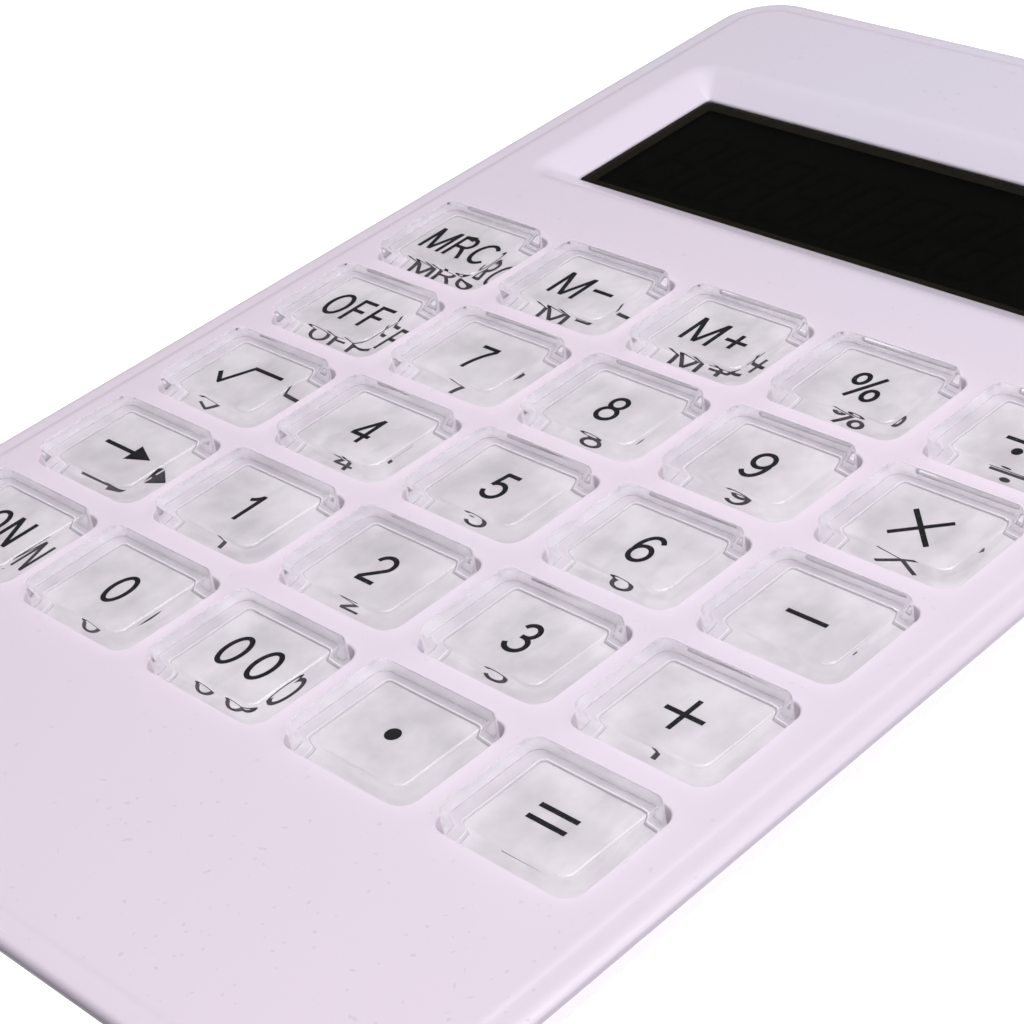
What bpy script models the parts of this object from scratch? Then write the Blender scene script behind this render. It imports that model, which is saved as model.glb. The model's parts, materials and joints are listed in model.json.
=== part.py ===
"""Pocket calculator with clear push-through keys, as separate pieces.

Frame: metres, +Z out of the key face, +Y towards the display, origin on the surface that the
calculator lies on, under the middle of its case. Sizes below are in millimetres.
"""
import math

import bmesh
import bpy
from mathutils import Matrix

MM = 0.001
GAP = 0.3

# Case, from the resting surface up
BODY_WIDTH = 72.0
BODY_LENGTH = 114.6
CORNER_RADIUS = 5.0
FOOT_PROUD = 0.5
CASE_TOP = 9.0
COVER_WALL = 3.3
CEILING = 7.6
RIM_RUN = 1.0
RIM_DROP = 0.5
RIM_LOW = 8.3
PARTING = 6.6
PARTING_STEP = 0.1
FLOOR_TOP = 1.5
TAPER_X = 1.19
TAPER_Y = 0.97
HULL_WALL_SIDEWAYS = 1.25
LIP_WIDTH = 1.0
LIP_LOW = 4.9
LIP_START_Y = 50.0

# Keys: five columns by five rows
KEY_PITCH_X = 13.0
KEY_PITCH_Y = 10.85
KEY_GRID_Y = -10.7
KEY_WIDTH = 10.4
KEY_DEPTH = 8.15
KEY_CORNER = 1.3
KEY_PROUD = 1.1
KEY_HEIGHT = 3.3
KEY_FLANGE = 0.5
KEY_FLANGE_THICK = 0.6
KEY_EDGE = 0.45
LEGEND_DEPTH = 2.4
POCKET_WALL = 1.0
KEY_NAMES = (
    ("key_mrc", "key_m_minus", "key_m_plus", "key_percent", "key_divide"),
    ("key_off", "key_7", "key_8", "key_9", "key_multiply"),
    ("key_square_root", "key_4", "key_5", "key_6", "key_minus"),
    ("key_arrow", "key_1", "key_2", "key_3", "key_plus"),
    ("key_on", "key_0", "key_00", "key_decimal", "key_equals"),
)

# Display, from the outside in
WINDOW_Y = 33.5
WINDOW_WIDTH = 56.2
WINDOW_HEIGHT = 15.7
WINDOW_CORNER = 0.8
BEVEL_WIDTH = 2.7
BEVEL_DEPTH = 1.4
LENS_TOP = 7.4
LENS_THICK = 0.6
DISPLAY_FRAME_BOTTOM = 6.4
LCD_WIDTH = 57.4
LCD_HEIGHT = 18.0
LCD_Y = 33.1
LCD_BOTTOM = 4.8
LCD_TOP = DISPLAY_FRAME_BOTTOM - GAP
HOLDER_BORDER = 1.0
ZEBRA_LENGTH = 52.0
ZEBRA_WIDTH = 1.6

# Board, rubber key mat and what is soldered on the board
BOARD_BOTTOM = 2.7
BOARD_TOP = 3.6
BOARD_WIDTH = 55.2
BOARD_FRONT = -41.4
BOARD_BACK = 34.0
MAT_WIDTH = 58.2
MAT_FRONT = -36.2
MAT_BACK = 16.2
MAT_THICK = 0.4
DOME_SPREAD = (-0.8, 0.75)
DOME_SHOULDER = 5.6

# Button cell and its round cap
CELL_Y = -42.3
CELL_RADIUS = 5.8
CELL_HEIGHT = 3.05
CELL_BOTTOM = 1.8
CAP_RADIUS = 7.3
CAP_THICK = 0.8
CAP_RING_INNER = 6.3
CAP_TOP = 2.4
TAB_REACH = 1.1
TAB_BOTTOM = FLOOR_TOP + GAP
TAB_ANGLE = 26.0
NOTCH_ANGLE = 34.0
NOTCH_TURN = -45.0
COIN_SLOT = (10.0, 1.6, 0.4)

# Fasteners and feet
CASE_SCREWS = {
    "case_screw_front_left": (-15.5, -45.0),
    "case_screw_front_right": (15.5, -45.0),
    "case_screw_back_left": (-14.0, 47.0),
    "case_screw_back_right": (14.0, 47.0),
}
BOARD_SCREWS = {
    "board_screw_front_left": (-24.0, -39.6),
    "board_screw_front_right": (24.0, -39.6),
    "board_screw_back_left": (-24.0, 19.0),
    "board_screw_back_right": (24.0, 19.0),
}
FEET = {
    "foot_front_left": (-22.0, -43.5),
    "foot_front_right": (22.0, -43.5),
    "foot_back_left": (-22.0, 43.5),
    "foot_back_right": (22.0, 43.5),
}
FOOT_RADIUS = 3.5
FOOT_HEIGHT = 0.8
CASE_SCREW = {"head": 1.6, "shank": 0.75, "low": 0.7, "neck": 1.6, "tip": 6.5}
BOARD_SCREW = {"head": 1.3, "shank": 0.65, "low": 1.8, "neck": 2.4, "tip": 6.0}


def clear_scene():
    for item in list(bpy.data.objects):
        bpy.data.objects.remove(item, do_unlink=True)


def material(name, colour, roughness, metallic=0.0, alpha=1.0):
    made = bpy.data.materials.new(name)
    made.use_nodes = True
    shader = made.node_tree.nodes["Principled BSDF"]
    shader.inputs["Base Color"].default_value = (*colour, 1.0)
    shader.inputs["Roughness"].default_value = roughness
    shader.inputs["Metallic"].default_value = metallic
    shader.inputs["Alpha"].default_value = alpha
    return made


def rounded_outline(width, length, radius, steps, centre=(0.0, 0.0)):
    """Corners of a rectangle with arcs of `steps` edges, anticlockwise from the right side."""
    points = []
    for quarter, (sx, sy) in enumerate(((1, 1), (-1, 1), (-1, -1), (1, -1))):
        middle = (centre[0] + sx * (width / 2 - radius), centre[1] + sy * (length / 2 - radius))
        for step in range(steps + 1):
            angle = math.radians(90 * quarter + 90 * step / steps)
            points.append((middle[0] + radius * math.cos(angle), middle[1] + radius * math.sin(angle)))
    return points


def circle_outline(radius, steps, centre=(0.0, 0.0)):
    turns = [2 * math.pi * step / steps for step in range(steps)]
    return [(centre[0] + radius * math.cos(a), centre[1] + radius * math.sin(a)) for a in turns]


def sector_outline(radius, middle, spread, centre, steps=4):
    """A wedge from the centre out to an arc, angles in degrees."""
    turns = [math.radians(middle + spread * (step / steps - 0.5)) for step in range(steps + 1)]
    arc = [(centre[0] + radius * math.cos(a), centre[1] + radius * math.sin(a)) for a in turns]
    return [tuple(centre)] + arc


def solid(name, rings, shade=None, place=(0.0, 0.0)):
    """A closed body skinned over rings of equal length, each (outline, height), capped at both ends."""
    shape = bmesh.new()
    loops = []
    for outline, height in rings:
        loops.append([shape.verts.new((x * MM, y * MM, height * MM)) for x, y in outline])
    for low, high in zip(loops, loops[1:]):
        for i, corner in enumerate(low):
            j = (i + 1) % len(low)
            shape.faces.new((corner, low[j], high[j], high[i]))
    shape.faces.new(loops[0][::-1])
    shape.faces.new(loops[-1])
    bmesh.ops.recalc_face_normals(shape, faces=shape.faces)
    mesh = bpy.data.meshes.new(name)
    shape.to_mesh(mesh)
    shape.free()
    return placed(name, mesh, shade, place)


def placed(name, mesh, shade=None, place=(0.0, 0.0)):
    made = bpy.data.objects.new(name, mesh)
    made.location = (place[0] * MM, place[1] * MM, 0.0)
    if shade and not mesh.materials:
        mesh.materials.append(shade)
    bpy.context.scene.collection.objects.link(made)
    return made


def prism(name, outline, bottom, top, shade=None, place=(0.0, 0.0)):
    return solid(name, [(outline, bottom), (outline, top)], shade, place)


def block(name, low, high, shade=None):
    outline = [(low[0], low[1]), (high[0], low[1]), (high[0], high[1]), (low[0], high[1])]
    return prism(name, outline, low[2], high[2], shade)


def combine(body, tool, operation):
    """Union or difference with a tool body, applied at once; the tool is then removed."""
    step = body.modifiers.new(operation.lower(), "BOOLEAN")
    step.operation = operation
    step.object = tool
    step.solver = "EXACT"
    bpy.context.view_layer.update()
    done = bpy.data.meshes.new_from_object(body.evaluated_get(bpy.context.evaluated_depsgraph_get()))
    body.modifiers.remove(step)
    done.name = body.name
    body.data = done
    bpy.data.objects.remove(tool, do_unlink=True)


def cut(body, tool):
    combine(body, tool, "DIFFERENCE")


def join(body, tool):
    combine(body, tool, "UNION")


def smooth(body, angle=35.0):
    body.data.shade_smooth()
    body.data.set_sharp_from_angle(angle=math.radians(angle))


def case_outline(inset, radius, steps=5):
    """The case's outline, moved in by one number all round or by an (x, y) pair."""
    across, along = inset if isinstance(inset, tuple) else (inset, inset)
    return rounded_outline(BODY_WIDTH - 2 * across, BODY_LENGTH - 2 * along, radius, steps)


def undercut(height, extra=0.0):
    """How far the sides stand in from the rim at a height; they lean in at once below the thin rim."""
    fall = RIM_LOW - height
    return fall * TAPER_X + extra, fall * TAPER_Y + extra


def key_place(column, row):
    return ((column - 2) * KEY_PITCH_X, KEY_GRID_Y + (2 - row) * KEY_PITCH_Y)


def window_outline(grow, radius):
    size = (WINDOW_WIDTH + 2 * grow, WINDOW_HEIGHT + 2 * grow)
    return rounded_outline(*size, radius, 2, (0.0, WINDOW_Y))


def make_top_cover(shade):
    """Front shell: thin rounded rim, one opening for each key, and a bevelled recess for the window."""
    rings = [(case_outline(undercut(PARTING), CORNER_RADIUS - 1.5), PARTING)]
    rings.append((case_outline(0.0, CORNER_RADIUS), RIM_LOW))
    for turn in (0, 30, 60, 90):
        inset = RIM_RUN * (1 - math.cos(math.radians(turn)))
        height = CASE_TOP - RIM_DROP * (1 - math.sin(math.radians(turn)))
        rings.append((case_outline(inset, CORNER_RADIUS - inset), height))
    cover = solid("top_cover", rings, shade)
    hollow = case_outline(COVER_WALL, 2.0)
    cut(cover, prism("cover_hollow", hollow, PARTING - 1, CEILING))
    into = CEILING + 0.5
    surround = window_outline(BEVEL_WIDTH + 1.2, 2.0)
    join(cover, prism("display_surround", surround, DISPLAY_FRAME_BOTTOM, into))
    for place in CASE_SCREWS.values():
        join(cover, prism("case_boss", circle_outline(2.5, 12, place), PARTING - 3.2, into))
    for place in BOARD_SCREWS.values():
        join(cover, prism("board_boss", circle_outline(1.9, 12, place), BOARD_TOP + GAP, into))
    recess = [
        (window_outline(0.0, WINDOW_CORNER), CASE_TOP - BEVEL_DEPTH),
        (window_outline(BEVEL_WIDTH, WINDOW_CORNER + 1.6), CASE_TOP),
        (window_outline(BEVEL_WIDTH, WINDOW_CORNER + 1.6), CASE_TOP + 1),
    ]
    cut(cover, solid("window_recess", recess))
    window = window_outline(0.0, WINDOW_CORNER)
    cut(cover, prism("window_opening", window, DISPLAY_FRAME_BOTTOM - 1, CASE_TOP))
    for place in CASE_SCREWS.values():
        cut(cover, prism("case_pilot", circle_outline(CASE_SCREW["shank"] + GAP, 10, place), 3.0, 7.0))
    for place in BOARD_SCREWS.values():
        cut(cover, prism("board_pilot", circle_outline(BOARD_SCREW["shank"] + GAP, 10, place), 3.0, 6.4))
    opening = rounded_outline(KEY_WIDTH + 2 * GAP, KEY_DEPTH + 2 * GAP, KEY_CORNER + GAP, 2)
    for row in range(len(KEY_NAMES)):
        for column in range(len(KEY_NAMES[row])):
            hole = prism("key_opening", opening, CEILING - 1, CASE_TOP + 1, place=key_place(column, row))
            cut(cover, hole)
    smooth(cover)


def make_back_cover(shade):
    """Rear shell: flat back, sides that lean out to the rim, and a lip at each end inside the front shell."""
    rim = PARTING - GAP
    step = PARTING_STEP
    rings = [
        (case_outline(undercut(FOOT_PROUD, step), 3.0), FOOT_PROUD),
        (case_outline(undercut(rim, step), CORNER_RADIUS - 1.8), rim),
    ]
    cover = solid("back_cover", rings, shade)
    wall = step + HULL_WALL_SIDEWAYS
    hollow = [
        (case_outline(undercut(FLOOR_TOP, wall), 2.0), FLOOR_TOP),
        (case_outline(undercut(rim, wall), 2.0), rim),
        (case_outline(undercut(rim, wall), 2.0), rim + 1),
    ]
    cut(cover, solid("hull_hollow", hollow))
    lip_inset = COVER_WALL + GAP
    lip = prism("end_lips", case_outline(lip_inset, 1.7), LIP_LOW, CEILING - GAP)
    cut(lip, prism("lip_hollow", case_outline(lip_inset + LIP_WIDTH, 0.9), LIP_LOW - 1, CEILING + 1))
    middle = ((-BODY_WIDTH, -LIP_START_Y, LIP_LOW - 1), (BODY_WIDTH, LIP_START_Y, CEILING + 1))
    cut(lip, block("lip_gap", *middle))
    join(cover, lip)
    for place in CASE_SCREWS.values():
        post = circle_outline(2.7, 12, place)
        join(cover, prism("screw_post", post, FOOT_PROUD + 0.3, PARTING - 3.2 - GAP))
    for side in (-1, 1):
        edges = sorted((side * 9.0, side * 9.9))
        join(cover, block("cell_wall", (edges[0], -46.0, FOOT_PROUD + 0.3), (edges[1], -38.5, 3.9)))
    for place in CASE_SCREWS.values():
        cut(cover, prism("screw_way", circle_outline(CASE_SCREW["shank"] + 0.35, 10, place), 0.0, 5.0))
        cut(cover, prism("screw_sink", circle_outline(CASE_SCREW["head"] + GAP, 16, place), 0.0, 1.9))
    for place in FEET.values():
        sink_top = FOOT_HEIGHT + GAP
        cut(cover, prism("foot_sink", circle_outline(FOOT_RADIUS + GAP, 20, place), 0.0, sink_top))
    centre = (0.0, CELL_Y)
    cut(cover, prism("cell_opening", circle_outline(CAP_RADIUS + GAP, 28, centre), 0.0, 3.0))
    for middle in (90, 210, 330):
        wedge = sector_outline(CAP_RADIUS + TAB_REACH + GAP, middle + NOTCH_TURN, NOTCH_ANGLE, centre)
        cut(cover, prism("cap_notch", wedge, 0.0, 3.0))
    smooth(cover)


def make_keys(shade):
    """Clear caps: a block through the front, a flange under it, and a shallow pocket for the legend."""
    top = CASE_TOP + KEY_PROUD
    bottom = top - KEY_HEIGHT

    def ring(grow, height):
        size = (KEY_WIDTH + 2 * grow, KEY_DEPTH + 2 * grow)
        return rounded_outline(*size, max(KEY_CORNER + grow, 0.5), 2), height

    rings = [
        ring(-POCKET_WALL, top - LEGEND_DEPTH),
        ring(-POCKET_WALL, bottom),
        ring(KEY_FLANGE, bottom),
        ring(KEY_FLANGE, bottom + KEY_FLANGE_THICK),
        ring(0.0, bottom + KEY_FLANGE_THICK),
        ring(0.0, top - KEY_EDGE),
        ring(-KEY_EDGE * 0.8, top),
    ]
    shared = None
    for row, names in enumerate(KEY_NAMES):
        for column, name in enumerate(names):
            if shared is None:
                key = solid(name, rings, shade, key_place(column, row))
                smooth(key, 50.0)
                shared = key.data
            else:
                placed(name, shared, place=key_place(column, row))


def make_key_mat(shade):
    """One sheet of silicone rubber with a pad for each key standing up into the key's pocket."""
    base = BOARD_TOP + GAP
    middle = (MAT_FRONT + MAT_BACK) / 2
    sheet = rounded_outline(MAT_WIDTH, MAT_BACK - MAT_FRONT, 2.0, 3, (0.0, middle))
    mat = prism("keypad_mat", sheet, base, base + MAT_THICK, shade)
    pad_x = KEY_WIDTH - 2 * (POCKET_WALL + GAP)
    pad_y = KEY_DEPTH - 2 * (POCKET_WALL + GAP)
    pad_top = CASE_TOP + KEY_PROUD - LEGEND_DEPTH - GAP
    spread_x, spread_y = DOME_SPREAD
    foot = rounded_outline(pad_x + 2 * spread_x, pad_y + 2 * spread_y, 0.8, 1)
    pad = rounded_outline(pad_x, pad_y, 0.5, 1)
    low = base + MAT_THICK
    rings = [(foot, low - 0.2), (foot, low + 0.2), (pad, DOME_SHOULDER), (pad, pad_top)]
    for row in range(len(KEY_NAMES)):
        for column in range(len(KEY_NAMES[row])):
            join(mat, solid("dome", rings, place=key_place(column, row)))
    smooth(mat)


def make_display(glass, panel, plastic, rubber):
    """Clear window, liquid-crystal panel, its holder, and the rubber strip that connects it."""
    window = window_outline(-GAP, WINDOW_CORNER - GAP)
    prism("display_window", window, LENS_TOP - LENS_THICK, LENS_TOP, glass)
    sheet = rounded_outline(LCD_WIDTH, LCD_HEIGHT, 0.4, 1, (0.0, LCD_Y))
    prism("lcd_panel", sheet, LCD_BOTTOM, LCD_TOP, panel)
    grow = 2 * (GAP + HOLDER_BORDER)
    border = rounded_outline(LCD_WIDTH + grow, LCD_HEIGHT + grow, 1.2, 3, (0.0, LCD_Y))
    holder = prism("lcd_holder", border, LCD_BOTTOM - 0.1, LCD_TOP, plastic)
    inside = rounded_outline(LCD_WIDTH + 2 * GAP, LCD_HEIGHT + 2 * GAP, 0.4, 1, (0.0, LCD_Y))
    cut(holder, prism("holder_hollow", inside, LCD_BOTTOM - 1, LCD_TOP + 1))
    strip_y = LCD_Y - LCD_HEIGHT / 2 + 1.4
    low = (-ZEBRA_LENGTH / 2, strip_y - ZEBRA_WIDTH / 2, BOARD_TOP + GAP)
    high = (ZEBRA_LENGTH / 2, strip_y + ZEBRA_WIDTH / 2, LCD_BOTTOM - GAP)
    block("zebra_strip", low, high, rubber)


def make_board(laminate, epoxy, ceramic):
    """Circuit board with a bay for the cell, screw holes, and the parts soldered to it."""
    middle = (BOARD_FRONT + BOARD_BACK) / 2
    sheet = rounded_outline(BOARD_WIDTH, BOARD_BACK - BOARD_FRONT, 1.5, 3, (0.0, middle))
    board = prism("circuit_board", sheet, BOARD_BOTTOM, BOARD_TOP, laminate)
    bay = rounded_outline(21.0, 14.0, 1.0, 2, (0.0, CELL_Y))
    cut(board, prism("cell_bay", bay, BOARD_BOTTOM - 1, BOARD_TOP + 1))
    for place in BOARD_SCREWS.values():
        hole = circle_outline(BOARD_SCREW["shank"] + GAP, 10, place)
        cut(board, prism("board_hole", hole, BOARD_BOTTOM - 1, BOARD_TOP + 1))
    low = BOARD_TOP + GAP
    blob = [
        (circle_outline(3.6, 20), low),
        (circle_outline(3.2, 20), low + 0.35),
        (circle_outline(2.0, 20), low + 0.6),
    ]
    smooth(solid("controller_chip", blob, epoxy, (0.0, 30.3)), 60.0)
    block("capacitor", (13.0, 29.4, low), (15.0, 30.7, low + 0.55), ceramic)


def make_cell(steel, contact_metal, shade):
    """Button cell, the two contact springs, and the round cap that a coin turns."""
    centre = (0.0, CELL_Y)
    can = [
        (circle_outline(CELL_RADIUS - 0.3, 32, centre), CELL_BOTTOM),
        (circle_outline(CELL_RADIUS, 32, centre), CELL_BOTTOM + 0.3),
        (circle_outline(CELL_RADIUS, 32, centre), CELL_BOTTOM + CELL_HEIGHT - 0.5),
        (circle_outline(CELL_RADIUS - 0.7, 32, centre), CELL_BOTTOM + CELL_HEIGHT - 0.35),
        (circle_outline(CELL_RADIUS - 0.8, 32, centre), CELL_BOTTOM + CELL_HEIGHT),
    ]
    smooth(solid("button_cell", can, steel))

    leaf_low = CELL_BOTTOM + CELL_HEIGHT + GAP
    leaf_top = leaf_low + 0.2
    ends = ((-1.5, CELL_Y - 3.0, leaf_low), (1.5, CELL_Y + 4.8, leaf_top))
    leaf = block("contact_negative", *ends, contact_metal)
    join(leaf, block("leaf_arm", (-14.0, CELL_Y + 3.3, leaf_low), (-0.5, CELL_Y + 4.8, leaf_top)))
    join(leaf, block("leaf_leg", (-14.0, CELL_Y + 3.3, BOARD_TOP + GAP), (-13.7, CELL_Y + 4.8, leaf_top)))

    side_low = BOARD_TOP + GAP
    side_top = side_low + 0.9
    near = CELL_RADIUS + GAP
    ends = ((near, CELL_Y - 2.5, side_low), (near + 0.25, CELL_Y + 4.5, side_top))
    spring = block("contact_positive", *ends, contact_metal)
    join(spring, block("side_arm", (near, CELL_Y + 4.25, side_low), (14.0, CELL_Y + 4.5, side_top)))

    cap = solid("battery_cap", [
        (circle_outline(CAP_RADIUS - 0.2, 28), FOOT_PROUD),
        (circle_outline(CAP_RADIUS, 28), FOOT_PROUD + 0.2),
        (circle_outline(CAP_RADIUS, 28), CAP_TOP),
        (circle_outline(CAP_RING_INNER, 28), CAP_TOP),
        (circle_outline(CAP_RING_INNER, 28), FOOT_PROUD + CAP_THICK),
    ], shade, centre)
    for middle in (90, 210, 330):
        wedge = sector_outline(CAP_RADIUS + TAB_REACH, middle, TAB_ANGLE, (0.0, 0.0))
        tab = prism("cap_tab", wedge, TAB_BOTTOM, CAP_TOP, place=centre)
        core = circle_outline(CAP_RADIUS - 0.4, 28)
        cut(tab, prism("tab_trim", core, TAB_BOTTOM - 1, CAP_TOP + 1, place=centre))
        join(cap, tab)
    long, wide, deep = COIN_SLOT
    slot = rounded_outline(long, wide, wide / 2 - 0.01, 4)
    cut(cap, prism("coin_slot", slot, FOOT_PROUD - 1, FOOT_PROUD + deep, place=centre))
    smooth(cap)


def make_screw(name, place, size, shade):
    """Pan head with a cross recess, underneath, and a plain shank pointing up."""
    screw = solid(name, [
        (circle_outline(size["head"] - 0.25, 12), size["low"]),
        (circle_outline(size["head"], 12), size["low"] + 0.25),
        (circle_outline(size["head"], 12), size["neck"]),
        (circle_outline(size["shank"], 12), size["neck"]),
        (circle_outline(size["shank"], 12), size["tip"] - 0.6),
        (circle_outline(size["shank"] * 0.4, 12), size["tip"]),
    ], shade, place)
    reach = size["head"] * 0.6
    depth = (size["neck"] - size["low"]) * 0.5
    for turn in (0, 90):
        bar = rounded_outline(2 * reach, 0.4, 0.05, 1)
        tool = prism("cross", bar, size["low"] - 1, size["low"] + depth, place=place)
        tool.data.transform(Matrix.Rotation(math.radians(turn), 4, "Z"))
        cut(screw, tool)
    smooth(screw)


def make_feet(rubber):
    for name, place in FEET.items():
        rings = [
            (circle_outline(FOOT_RADIUS - 0.2, 20), 0.0),
            (circle_outline(FOOT_RADIUS, 20), 0.2),
            (circle_outline(FOOT_RADIUS, 20), FOOT_HEIGHT),
        ]
        smooth(solid(name, rings, rubber, place))


def main():
    clear_scene()
    white = material("gloss_white_plastic", (0.80, 0.70, 0.81), 0.25)
    clear = material("clear_acrylic", (0.95, 0.95, 0.96), 0.05, alpha=0.3)
    silicone = material("grey_silicone", (0.66, 0.66, 0.68), 0.6)
    steel = material("bright_steel", (0.72, 0.72, 0.74), 0.25, metallic=1.0)
    black = material("black_plastic", (0.02, 0.02, 0.02), 0.4)
    rubber = material("black_rubber", (0.03, 0.03, 0.03), 0.8)
    make_top_cover(white)
    make_back_cover(white)
    make_keys(clear)
    make_key_mat(silicone)
    make_display(
        material("window_acrylic", (0.05, 0.05, 0.05), 0.05, alpha=0.4),
        material("lcd_glass", (0.01, 0.012, 0.01), 0.15),
        black,
        material("zebra_rubber", (0.12, 0.12, 0.13), 0.7),
    )
    make_board(
        material("green_laminate", (0.02, 0.18, 0.07), 0.45),
        material("black_epoxy", (0.01, 0.01, 0.01), 0.35),
        material("brown_ceramic", (0.35, 0.22, 0.12), 0.5),
    )
    make_cell(steel, material("nickel_spring", (0.78, 0.74, 0.66), 0.3, metallic=1.0), white)
    for name, place in CASE_SCREWS.items():
        make_screw(name, place, CASE_SCREW, steel)
    for name, place in BOARD_SCREWS.items():
        make_screw(name, place, BOARD_SCREW, steel)
    make_feet(rubber)


main()
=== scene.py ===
# %% [markdown]
# # A pocket calculator with clear keys
#
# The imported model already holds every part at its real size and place, as plain faceted solids. This
# lesson gives it its looks: a glossy moulded case with soft edges, twenty-five clear acrylic keys with
# printed legends under them, a sunken dark display, and the parts inside and on the back.
# First the frame is loaded. Nothing in it is moved: each fine piece below either stands for a part of
# the frame or lies beside it, and is worked out from the frame's own sizes.

# %% Load the frame
import json
import math

import bmesh
import bpy
from mathutils import Matrix, Quaternion, Vector, noise

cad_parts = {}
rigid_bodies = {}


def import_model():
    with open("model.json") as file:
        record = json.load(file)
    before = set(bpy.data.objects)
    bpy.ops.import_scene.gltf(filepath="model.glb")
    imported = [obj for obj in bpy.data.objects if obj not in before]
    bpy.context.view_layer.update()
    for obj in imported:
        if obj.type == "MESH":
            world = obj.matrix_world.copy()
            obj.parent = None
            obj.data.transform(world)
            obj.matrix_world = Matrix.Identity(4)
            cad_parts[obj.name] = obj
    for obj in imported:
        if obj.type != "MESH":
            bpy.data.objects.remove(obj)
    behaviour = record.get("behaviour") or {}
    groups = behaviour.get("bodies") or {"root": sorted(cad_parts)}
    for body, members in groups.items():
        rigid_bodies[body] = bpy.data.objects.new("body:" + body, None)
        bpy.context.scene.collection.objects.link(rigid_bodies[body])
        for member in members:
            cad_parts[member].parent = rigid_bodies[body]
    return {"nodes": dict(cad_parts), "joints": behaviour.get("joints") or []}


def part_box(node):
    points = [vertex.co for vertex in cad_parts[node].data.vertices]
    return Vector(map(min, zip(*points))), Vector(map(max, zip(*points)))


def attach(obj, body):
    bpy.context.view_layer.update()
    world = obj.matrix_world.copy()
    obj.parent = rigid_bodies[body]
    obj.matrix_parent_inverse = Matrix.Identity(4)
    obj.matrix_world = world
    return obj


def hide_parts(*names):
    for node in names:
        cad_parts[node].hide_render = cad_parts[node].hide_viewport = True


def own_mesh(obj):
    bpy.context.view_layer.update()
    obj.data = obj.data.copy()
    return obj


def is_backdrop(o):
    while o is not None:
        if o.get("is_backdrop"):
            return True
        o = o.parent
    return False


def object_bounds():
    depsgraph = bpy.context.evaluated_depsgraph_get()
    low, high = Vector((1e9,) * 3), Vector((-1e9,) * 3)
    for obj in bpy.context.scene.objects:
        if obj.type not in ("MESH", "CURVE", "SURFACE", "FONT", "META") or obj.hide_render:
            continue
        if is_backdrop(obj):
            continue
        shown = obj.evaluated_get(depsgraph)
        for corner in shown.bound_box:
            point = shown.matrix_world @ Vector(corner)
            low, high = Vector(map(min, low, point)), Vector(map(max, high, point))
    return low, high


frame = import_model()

MM = 0.001
cad_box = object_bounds()
cover_low, cover_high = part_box("top_cover")
CASE_TOP = cover_high.z / MM
BODY_WIDTH = (cover_high.x - cover_low.x) / MM
BODY_LENGTH = (cover_high.y - cover_low.y) / MM
print(f"case {BODY_WIDTH:.1f} x {BODY_LENGTH:.1f} mm, face at {CASE_TOP:.1f} mm")

# %% [markdown]
# ## Camera
#
# The view comes first, because every later choice is judged through it. The camera stands in front of
# the calculator, to its right and above, quite close, with a long lens, and it is rolled so that the
# case runs across the picture. Naming an azimuth, an elevation, a roll and a distance says this more
# plainly than a matrix would.

# %% Camera
VIEW_AZIMUTH = 50.9
VIEW_ELEVATION = 33.2
VIEW_ROLL = -10.7
VIEW_DISTANCE = 172.2 * MM
VIEW_TARGET = Vector((2.75 * MM, -12.3 * MM, cover_high.z))
LENS = 94.4


def towards_viewer(azimuth, elevation):
    """The direction of something seen at these angles: azimuth from the front, turning to the right."""
    around, up = math.radians(azimuth), math.radians(elevation)
    return Vector((math.sin(around) * math.cos(up), -math.cos(around) * math.cos(up), math.sin(up)))


def make_camera():
    """A camera placed by the direction it looks from, turned about its own axis by the roll."""
    data = bpy.data.cameras.new("camera")
    data.lens = LENS
    data.clip_start = 0.01
    data.clip_end = 10.0
    camera = bpy.data.objects.new("camera", data)
    bpy.context.scene.collection.objects.link(camera)
    back = towards_viewer(VIEW_AZIMUTH, VIEW_ELEVATION)
    camera.location = VIEW_TARGET + back * VIEW_DISTANCE
    camera.rotation_mode = "QUATERNION"
    roll = Quaternion((0, 0, 1), math.radians(VIEW_ROLL))
    camera.rotation_quaternion = (-back).to_track_quat("-Z", "Y") @ roll
    bpy.context.scene.camera = camera
    return camera


camera = make_camera()
print("camera at", tuple(round(c / MM, 1) for c in camera.location), "mm")

# %% [markdown]
# ## Shader arithmetic
#
# A procedural material is mostly arithmetic on patterns. Wiring Math nodes by hand hides that, so a
# small class stands for a socket and lets Python's own operators add the nodes. `1 - mask` works
# because the reflected forms are there too. Colours don't pass through it, because a Math node would
# turn them grey: they are mixed with a Mix node instead.

# %% Values that do their own wiring
class Value:
    """A number socket in a node tree; arithmetic on it adds Math nodes."""

    def __init__(self, recipe, socket):
        self.recipe = recipe
        self.socket = socket

    def math(self, operation, *others):
        return self.recipe.node("ShaderNodeMath", {"operation": operation}, [self, *others])

    def __add__(self, other):
        return self.math("ADD", other)

    def __radd__(self, other):
        return self.math("ADD", other)

    def __sub__(self, other):
        return self.math("SUBTRACT", other)

    def __rsub__(self, other):
        return self.recipe.node("ShaderNodeMath", {"operation": "SUBTRACT"}, [other, self])

    def __mul__(self, other):
        return self.math("MULTIPLY", other)

    def __truediv__(self, other):
        return self.math("DIVIDE", other)

    def clamp(self, low, high):
        return self.math("MAXIMUM", low).math("MINIMUM", high)

    def above(self, edge, softness):
        """0 below the edge and 1 above it, with a soft step; a negative softness turns the step round."""
        return ((self - edge) / softness + 0.5).clamp(0.0, 1.0)


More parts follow.
